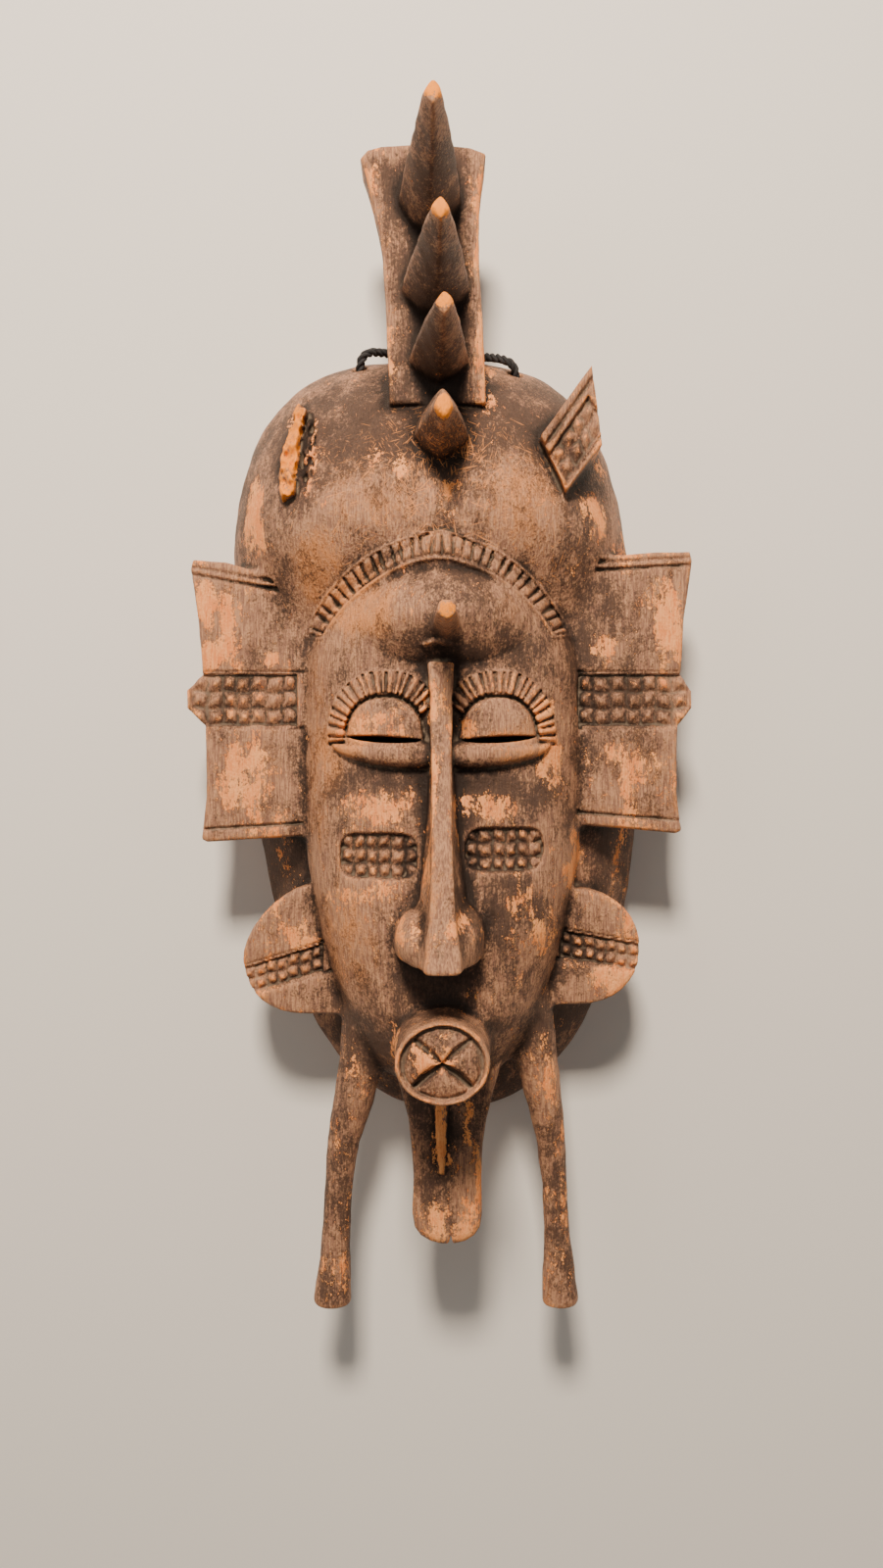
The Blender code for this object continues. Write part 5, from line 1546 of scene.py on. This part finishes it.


# Where the patina is gone, rubbed thin, smoked or scratched, and where shadow is painted: x, y, reach along
# x and along y in millimetres, and strength
BARE_PLACES = (
    (-75.0, 58.0, 3.2, 8.0, 1.0), (-68.5, 49.0, 3.6, 12.0, 1.0), (-72.0, 40.0, 6.0, 3.4, 1.0),
    (-57.0, 39.5, 6.0, 2.4, 0.9), (-64.0, 2.0, 8.0, 13.0, 1.0), (-60.0, 84.0, 3.8, 12.0, 1.0),
    (46.5, 84.0, 4.5, 8.0, 0.9), (57.0, 76.0, 3.0, 12.0, 0.6), (-10.8, 95.5, 3.4, 4.4, 0.9),
    (-19.5, 100.0, 2.4, 6.0, 0.7), (4.0, 90.0, 4.0, 4.0, 0.6), (70.8, 52.5, 5.0, 13.0, 0.95),
    (50.6, 43.0, 4.5, 4.5, 0.9), (58.0, 4.0, 12.0, 10.0, 0.5), (-15.6, 18.5, 8.0, 4.6, 0.75),
    (9.3, 16.5, 5.0, 3.4, 0.8), (-1.0, 24.0, 3.0, 8.0, 1.0), (0.4, 2.0, 2.6, 11.0, 0.7),
    (-30.0, 18.0, 3.4, 7.0, 0.6), (33.0, 19.5, 3.4, 8.0, 0.9), (-18.6, -7.2, 10.0, 5.4, 0.9),
    (15.5, -5.7, 9.0, 5.4, 0.9), (34.0, 4.4, 3.2, 9.0, 0.8), (41.0, -24.0, 2.8, 10.0, 0.9),
    (28.0, -41.0, 9.0, 13.0, 0.55), (-46.5, -48.5, 7.0, 3.6, 0.9), (54.0, -62.0, 9.0, 5.0, 0.8),
    (-10.0, -42.0, 3.4, 3.0, 0.9), (7.4, -40.0, 2.6, 3.0, 0.9), (-22.0, -32.6, 9.0, 3.4, 0.7),
    (-4.0, -44.0, 2.0, 6.0, 0.6), (-12.6, -78.0, 2.4, 8.0, 0.7), (1.0, -76.0, 7.0, 6.0, 0.8),
    (-33.5, -140.0, 6.0, 26.0, 0.3), (37.0, -140.0, 6.0, 28.0, 0.35), (31.0, -95.0, 4.0, 14.0, 0.6),
    (-28.0, -98.0, 3.0, 12.0, 0.5), (-3.4, -136.0, 5.4, 8.0, 0.85), (8.2, -135.0, 3.4, 8.0, 0.8),
    (-1.0, -110.0, 2.6, 12.0, 0.8), (8.4, -110.0, 3.6, 10.0, 0.85), (12.4, -124.0, 1.6, 9.0, 0.9),
    (-22.0, 184.0, 3.0, 12.0, 0.6), (12.6, 178.0, 2.6, 16.0, 0.75), (12.8, 137.0, 2.2, 20.0, 0.8),
    (-16.8, 131.0, 2.4, 12.0, 0.5), (14.0, 120.0, 3.0, 4.0, 0.9), (48.0, 101.0, 2.6, 5.0, 0.6),
    (-47.3, 104.0, 4.0, 17.0, 0.7), (-39.6, 104.0, 1.4, 12.0, 0.8), (-55.0, -40.0, 5.0, 30.0, 0.4),
    (57.0, -30.0, 5.0, 28.0, 0.5), (-2.0, -20.0, 3.0, 16.0, 0.5),
)
RUBBED_PLACES = (
    (-38.0, 66.0, 9.0, 14.0, 0.9), (-20.0, 88.0, 16.0, 10.0, 0.6), (26.0, 88.0, 16.0, 16.0, 0.7),
    (-39.0, 5.0, 5.0, 50.0, 0.5), (-24.0, 54.0, 13.0, 12.0, 1.0), (24.0, 54.0, 10.0, 7.0, 0.4),
    (-26.0, 18.0, 8.0, 9.0, 0.8), (25.0, 12.0, 8.0, 9.0, 0.5), (60.0, 0.0, 15.0, 16.0, 0.5),
    (62.0, 55.0, 14.0, 16.0, 0.4), (-62.0, 54.0, 14.0, 16.0, 0.4), (-60.0, 0.0, 15.0, 18.0, 0.4),
    (0.0, -30.0, 5.0, 22.0, 0.4), (-54.0, -56.0, 10.0, 12.0, 0.4), (52.0, -44.0, 10.0, 10.0, 0.3),
    (-28.0, -50.0, 10.0, 24.0, 0.6), (-33.0, 10.0, 7.0, 14.0, 0.8), (36.0, -136.0, 8.0, 34.0, 0.2),
)
# Many soot places are painted shadow: under the peg and the forehead's swell, under the nose and the lid
# rolls, below the arch band, over the mouth, beside the chin, in the break beside the stump, and on the
# bowl's bottom under the chin. The rest darken the smoke patina.
SOOT_AND_SHADE_PLACES = (
    (-28.0, 118.0, 24.0, 22.0, 0.9), (28.0, 122.0, 20.0, 20.0, 0.8), (-1.0, 150.0, 8.0, 46.0, 1.25),
    (1.0, 104.0, 9.0, 13.0, 1.4), (-34.0, -134.0, 9.0, 34.0, 1.15), (38.0, -134.0, 9.0, 34.0, 1.25),
    (0.0, -106.0, 42.0, 12.0, 0.8), (2.0, 39.0, 13.0, 6.0, 0.8), (1.4, 42.0, 4.0, 8.0, 0.9),
    (0.0, 66.0, 28.0, 6.0, 0.4), (0.0, -58.0, 13.0, 6.0, 1.1), (-16.0, 0.0, 13.0, 4.0, 0.7),
    (16.0, 0.0, 13.0, 4.0, 0.7), (1.0, -108.0, 13.0, 18.0, 0.5), (-26.0, -84.0, 8.0, 13.0, 0.6),
    (31.0, -84.0, 8.0, 13.0, 0.6), (9.0, -28.0, 4.0, 18.0, 0.6), (0.0, 88.0, 22.0, 5.0, 0.5),
    (0.2, -14.0, 3.6, 34.0, 0.75), (0.0, -79.0, 14.5, 12.6, 0.45), (-46.0, 104.0, 8.0, 20.0, 0.6),
    (-42.0, 103.0, 2.2, 12.0, 1.6), (-5.0, 186.0, 20.0, 13.0, 0.7), (46.0, 94.0, 7.0, 14.0, 0.6),
    (12.0, 12.0, 10.0, 12.0, 0.4), (22.0, 42.0, 13.0, 6.0, 0.5), (22.0, -38.0, 8.0, 10.0, 0.8),
    (30.0, -2.0, 8.0, 9.0, 0.5), (-54.0, 56.0, 6.0, 8.0, 0.6), (54.0, 56.0, 6.0, 10.0, 0.4),
)
SCRATCHED_PLACES = (
    (0.0, 92.0, 44.0, 26.0, 1.0), (-30.0, 70.0, 16.0, 16.0, 0.9), (34.0, 74.0, 14.0, 14.0, 0.7),
)
# The tips that show fresh wood: x, y, z and reach in millimetres
RAW_PLACES = (
    (-2.0, 187.0, 94.0, 4.2), (-0.1, 157.8, 89.5, 4.6), (0.8, 134.0, 84.5, 3.4),
    (0.8, 105.6, 82.0, 5.4), (1.4, 47.0, 95.5, 3.6),
)


def place_strength(points: Numbers, places: tuple[tuple[float, ...], ...]) -> Numbers:
    """How much each point belongs to a set of soft oval places.

    Args:
        points: Points in millimetres.
        places: For each place its x, y, reach along x and along y, and strength.

    Returns:
        The greatest strength at each point, falling off from each place's middle.
    """
    x, y, z = points.T
    across = x + 1.6 * waver(x, y, z, 19.0, 2.0) + 0.12 * (z - 45.0)
    up = y + 2.2 * waver(y, z, x, 23.0, 5.0)
    total = np.zeros(len(points))
    for middle_x, middle_y, reach_x, reach_y, strength in places:
        off = ((across - middle_x) / reach_x) ** 2 + ((up - middle_y) / reach_y) ** 2
        total = np.maximum(total, strength * np.exp(-off * off * 0.7))
    return total


def raw_strength(points: Numbers) -> Numbers:
    """How much each point belongs to the tips and the stump, where fresh wood shows.

    Args:
        points: Points in millimetres.

    Returns:
        The strength at each point.
    """
    x, y, z = points.T
    front_from = 20.0
    total = 0.84 * ease(0.5 - outline_distance(x, y, list(STUMP_OUTLINE))) * (z > front_from)
    for *tip, reach in RAW_PLACES:
        off = np.linalg.norm(points - tip, axis=1) / reach
        total = np.maximum(total, np.exp(-off ** 4))
    return total


@dataclass
class CarvedMask:
    """The whole carving, from one block of wood."""

    step: float = FINE_STEP
    triangles: int = 196_000

    def carve(self) -> WoodBlock:
        """Carve every form out of the block.

        Returns:
            The carved block.
        """
        block = WoodBlock(self.step)
        skin = Skin()
        skin.shell.carve(block)
        skin.face.carve(block)
        forms = [Arch(skin), Peg(), Mouth(), Nose(), Crest(), Beard(), Leg(LEFT_LEG), Leg(RIGHT_LEG),
                 Flap(), Stump(skin)]
        for side in Side:
            forms += [Wing(side), EarTab(side), CheekPatch(skin, side), Eye(skin, side)]
        for form in forms:
            form.carve(block)
        skin.shell.hollow(block)
        for side in Side:
            Eye(skin, side).cut_slit(block)
        CordHole((-27.0, 117.5, 11.3), (-26.7, 140.5, 23.4)).carve(block)
        CordHole((24.6, 117.5, 11.8), (23.9, 139.5, 23.5)).carve(block)
        rim_level = 0.05
        block.values = np.maximum(block.values, (rim_level - block.axes[2])[None, None, :])
        return block

    def build(self) -> bpy.types.Object:
        """Carve the mask and make its mesh.

        Returns:
            The mask's object, in the frame's metres.
        """
        block = self.carve()
        points, faces = block.surface()
        mesh = bpy.data.meshes.new("carved_mask")
        mesh.vertices.add(len(points))
        mesh.vertices.foreach_set("co", points.astype(np.float32).ravel())
        mesh.loops.add(faces.size)
        mesh.loops.foreach_set("vertex_index", faces.astype(np.int32).ravel())
        mesh.polygons.add(len(faces))
        mesh.polygons.foreach_set("loop_start", np.arange(0, faces.size, 4, dtype=np.int32))
        mesh.update(calc_edges=True)
        LOG.info("surface of %d faces", len(faces))
        mask = bpy.data.objects.new("carved_mask", mesh)
        bpy.context.scene.collection.objects.link(mask)
        modifier = mask.modifiers.new("Keep the shape with fewer faces", "DECIMATE")
        modifier.ratio = min(1.0, self.triangles / (2.0 * len(faces)))
        lean = bpy.data.meshes.new_from_object(mask.evaluated_get(bpy.context.evaluated_depsgraph_get()))
        mask.modifiers.clear()
        mask.data = lean
        bpy.data.meshes.remove(mesh)
        self.mark(lean, block)
        lean.shade_smooth()
        return mask

    def mark(self, mesh: bpy.types.Mesh, block: WoodBlock) -> None:
        """Store where the wood is sheltered or worn, and move the mesh into the frame.

        Args:
            mesh: The carving's mesh, in millimetres.
            block: The block it was carved from.
        """
        count = len(mesh.vertices)
        points = np.empty(count * 3, np.float32)
        mesh.vertices.foreach_get("co", points)
        points = points.reshape(-1, 3).astype(np.float64)
        points = np.clip(points, BOX_LOW, BOX_HIGH)
        height = points[:, 2]
        # The low sides of the bowl are darkened from the eyes down: partly smoke patina, partly painted
        # shade under the wings and ear tabs.
        flank = 0.95 * ease((29.0 - height) / 6.0) * ease((24.0 - points[:, 1]) / 24.0)
        marks = {
            "edge": 0.5 - block.read(block.crowding(1.6), points),
            "nook": block.read(block.crowding(2.4), points) - 0.5,
            "shelter": block.read(block.crowding(8.0), points) - 0.5,
            "bare": place_strength(points, BARE_PLACES) * ease((height + 2.0) / 22.0),
            "rub": place_strength(points, RUBBED_PLACES),
            "soot_and_shade": np.maximum(place_strength(points, SOOT_AND_SHADE_PLACES), flank),
            "scratch": place_strength(points, SCRATCHED_PLACES),
            "raw": raw_strength(points),
        }
        for name, values in marks.items():
            mesh.attributes.new(name, "FLOAT", "POINT").data.foreach_set("value", values.astype(np.float32))
        moved = ((points + SHIFT) * MM).astype(np.float32)
        mesh.vertices.foreach_set("co", moved.ravel())
        mesh.update()


@dataclass
class HangingCord:
    """The thin black cord, laid up from three strands, that runs from hole to hole behind the crest."""

    diameter: float = 3.0
    strands: int = 3
    strand_share: float = 0.272  # a strand's radius, as a share of the cord's diameter
    lay_length: float = 7.5
    sides: int = 8
    spacing: float = 0.55
    route: tuple[Point, ...] = (
        (-27.0, 117.6, 8.5), (-27.0, 119.4, 11.4), (-27.0, 123.4, 14.2), (-27.0, 128.2, 16.9),
        (-27.0, 132.8, 19.4), (-26.9, 136.9, 21.5), (-26.0, 140.2, 22.6), (-23.6, 142.3, 21.6),
        (-20.0, 143.4, 18.4), (-16.2, 144.4, 14.2), (-12.0, 145.4, 9.6), (-7.4, 146.2, 5.2),
        (-2.0, 146.6, 2.6), (3.6, 146.4, 4.0), (8.2, 145.2, 9.0), (12.2, 143.6, 14.0),
        (16.0, 141.9, 18.4), (20.0, 140.0, 21.8), (23.2, 138.0, 22.7), (24.4, 135.0, 21.3),
        (24.6, 131.0, 19.2), (24.6, 126.6, 16.8), (24.6, 122.2, 14.2), (24.6, 118.4, 11.4),
        (24.6, 116.6, 8.5),
    )

    def smooth_route(self) -> Numbers:
        """A smooth line through the route's points.

        Returns:
            Points close together on the line, in millimetres.
        """
        p = [Vector(point) for point in self.route]
        p = [p[0] * 2.0 - p[1], *p, p[-1] * 2.0 - p[-2]]
        line = []
        for a, b, c, d in zip(p, p[1:], p[2:], p[3:]):
            count = max(2, round((c - b).length / self.spacing))
            for k in range(count):
                t = k / count
                line.append(0.5 * (2.0 * b + (c - a) * t + (2.0 * a - 5.0 * b + 4.0 * c - d) * t * t
                                   + (3.0 * b - a - 3.0 * c + d) * t ** 3))
        return np.array([*line, p[-2]])

    def build(self, knots: list[bpy.types.Object]) -> bpy.types.Object:
        """Make the laid cord.

        Args:
            knots: The knots on its two ends; not used.

        Returns:
            The cord's object.
        """
        line = self.smooth_route()
        strand = self.diameter * self.strand_share
        swing = self.diameter / 2.0 - strand
        way = np.gradient(line, axis=0)
        way /= np.linalg.norm(way, axis=1)[:, None]
        length = np.concatenate([[0.0], np.cumsum(np.linalg.norm(np.diff(line, axis=0), axis=1))])
        across = [np.cross(way[0], (0.0, 0.0, 1.0))]
        for step_way in way[1:]:
            across.append(across[-1] - step_way * across[-1].dot(step_way))
        across = np.array([a / np.linalg.norm(a) for a in across])
        up = np.cross(way, across)
        builder = TubeBuilder(self.sides)
        for k in range(self.strands):
            turn = math.tau * (length / self.lay_length + k / self.strands)
            centre = line + swing * (across * np.cos(turn)[:, None] + up * np.sin(turn)[:, None])
            fray = 1.0 + 0.05 * np.sin(length * 3.1 + k) + 0.04 * np.sin(length * 7.7 + 2.0 * k)
            builder.tube(centre, strand * fray, across, up)
        cord = builder.make("hanging_cord_laid")
        return cord


@dataclass
class TubeBuilder:
    """Gathers tubes into one mesh."""

    sides: int
    points: list[Numbers] = field(default_factory=list)
    faces: list[list[int]] = field(default_factory=list)

    def tube(self, line: Numbers, radius: Numbers, across: Numbers, up: Numbers) -> None:
        """Add a tube with closed ends.

        Args:
            line: Its middle line in millimetres.
            radius: Its radius at each point of the line.
            across: A direction square to the line at each point.
            up: The direction square to both.
        """
        base = sum(len(p) for p in self.points)
        turn = np.arange(self.sides) * math.tau / self.sides
        ring = across[:, None, :] * np.cos(turn)[None, :, None]
        ring = ring + up[:, None, :] * np.sin(turn)[None, :, None]
        rings = line[:, None, :] + ring * radius[:, None, None]
        self.points.append(rings.reshape(-1, 3))
        for i in range(len(line) - 1):
            for k in range(self.sides):
                a, b = base + i * self.sides + k, base + i * self.sides + (k + 1) % self.sides
                self.faces.append([a, b, b + self.sides, a + self.sides])
        last = base + (len(line) - 1) * self.sides
        self.faces.append([base + k for k in reversed(range(self.sides))])
        self.faces.append([last + k for k in range(self.sides)])

    def make(self, name: str) -> bpy.types.Object:
        """Make the object.

        Args:
            name: The object's name.

        Returns:
            The object, in the frame's metres.
        """
        mesh = bpy.data.meshes.new(name)
        mesh.from_pydata(((np.concatenate(self.points) + SHIFT) * MM).tolist(), [], self.faces)
        mesh.shade_smooth()
        made = bpy.data.objects.new(name, mesh)
        bpy.context.scene.collection.objects.link(made)
        return made


@dataclass
class Knot:
    """An overhand knot pulled tight, as a three-lobed tube."""

    name: str
    centre: Point
    size: float = 8.0
    tube: float = 1.35
    steps: int = 96
    sides: int = 10

    def build(self) -> bpy.types.Object:
        """Make the knot.

        Returns:
            The knot's object.
        """
        t = np.linspace(0.0, math.tau, self.steps, endpoint=False)
        line = [np.sin(t) + 2.0 * np.sin(2.0 * t), np.cos(t) - 2.0 * np.cos(2.0 * t),
                -np.sin(3.0 * t) * 1.5]
        line = np.stack(line, 1)
        low, high = line.min(axis=0), line.max(axis=0)
        line = (line - (low + high) / 2.0) / (high - low) * (self.size - 2.0 * self.tube - 0.1)
        line = np.concatenate([line, line[:1]]) + self.centre
        way = np.gradient(line, axis=0)
        way[0] = way[-1] = line[1] - line[-2]
        way /= np.linalg.norm(way, axis=1)[:, None]
        out = line - self.centre
        across = np.cross(way, out)
        across /= np.linalg.norm(across, axis=1)[:, None]
        builder = TubeBuilder(self.sides)
        builder.tube(line, np.full(len(line), self.tube), across, np.cross(way, across))
        return builder.make(self.name)


@dataclass(frozen=True)
class Lamp:
    """A soft square light: its place and side in metres, its power in watts, its sRGB colour."""

    name: str
    place: Point
    side: float
    watts: float
    colour: str


@dataclass(frozen=True)
class Studio:
    """Camera, floor and light, in metres."""

    eye: Point = (0.0006, -0.0162, 0.41)
    lens: float = 27.02
    sensor: float = 36.0
    aim: Point = (0.0, 0.0, 0.03)
    lamps: tuple[Lamp, ...] = (
        Lamp("window_above", (-0.07, 0.60, 0.74), 0.17, 17.0, "#FFEEDA"),
        Lamp("fill_right", (0.75, 0.1, 0.55), 0.7, 0.9, "#F7F2EC"),
        Lamp("fill_left", (-0.75, 0.15, 0.6), 0.7, 2.1, "#FBF1E6"),
    )
    floor_reach: float = 1.5
    floor_colour: str = "#E6E1DA"
    room_colour: str = "#E9E2DA"
    room_strength: float = 0.19

    def set_camera(self) -> None:
        """Look straight down on the face."""
        data = bpy.data.cameras.new("camera")
        data.lens, data.sensor_width, data.sensor_fit = self.lens, self.sensor, "AUTO"
        data.clip_start, data.clip_end = 0.01, 20.0
        camera = bpy.data.objects.new("camera", data)
        camera.location = self.eye
        bpy.context.scene.collection.objects.link(camera)
        bpy.context.scene.camera = camera

    def hang(self, lamp: Lamp) -> None:
        """Hang a lamp so that it shines on the mask.

        Args:
            lamp: The lamp.
        """
        data = bpy.data.lights.new(lamp.name, "AREA")
        data.size, data.energy, data.color = lamp.side, lamp.watts, rgb(lamp.colour)[:3]
        hung = bpy.data.objects.new(lamp.name, data)
        hung.location = lamp.place
        way = Vector(self.aim) - Vector(lamp.place)
        hung.rotation_euler = way.to_track_quat("-Z", "Y").to_euler()
        bpy.context.scene.collection.objects.link(hung)

    def build(self) -> None:
        """Lay the floor and hang the lights."""
        mesh = bpy.data.meshes.new("floor")
        far = self.floor_reach
        corners = [(-far, -far, 0.0), (far, -far, 0.0), (far, far, 0.0), (-far, far, 0.0)]
        mesh.from_pydata(corners, [], [(0, 1, 2, 3)])
        floor = bpy.data.objects.new("floor", mesh)
        bpy.context.scene.collection.objects.link(floor)
        plain = bpy.data.materials.new("pale_paper_floor")
        plain.use_nodes = True
        shader = plain.node_tree.nodes["Principled BSDF"]
        shader.inputs["Base Color"].default_value = rgb(self.floor_colour)
        shader.inputs["Roughness"].default_value = 0.9
        floor.data.materials.append(plain)
        for lamp in self.lamps:
            self.hang(lamp)
        world = bpy.data.worlds.new("room")
        bpy.context.scene.world = world
        world.use_nodes = True
        background = world.node_tree.nodes["Background"]
        background.inputs["Color"].default_value = rgb(self.room_colour)
        background.inputs["Strength"].default_value = self.room_strength


def main() -> None:
    """Build the mask and its cord, set the stage, and report each piece."""
    logging.basicConfig(level=logging.INFO, format="%(message)s")
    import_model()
    mask = CarvedMask(FINE_STEP).build()
    mask.data.materials.append(AgedWood().build())
    black = TwistedCord().build()
    left = Knot("cord_knot_left_tied", (-27.0, 115.0, 5.1)).build()
    right = Knot("cord_knot_right_tied", (24.6, 114.0, 5.1)).build()
    cord = HangingCord().build([left, right])
    pieces = ((mask, "mask", "wood"), (cord, "hanging_cord", "cord"), (left, "cord_knot_left", "cord"),
              (right, "cord_knot_right", "cord"))
    for made, node, slot in pieces:
        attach(made, "root")
        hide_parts(node)
        if slot == "cord":
            made.data.materials.append(black)
        LOG.info("%s: %d triangles", made.name, sum(len(p.vertices) - 2 for p in made.data.polygons))
    studio = Studio()
    studio.set_camera()
    studio.build()


if __name__ == "__main__":
    main()
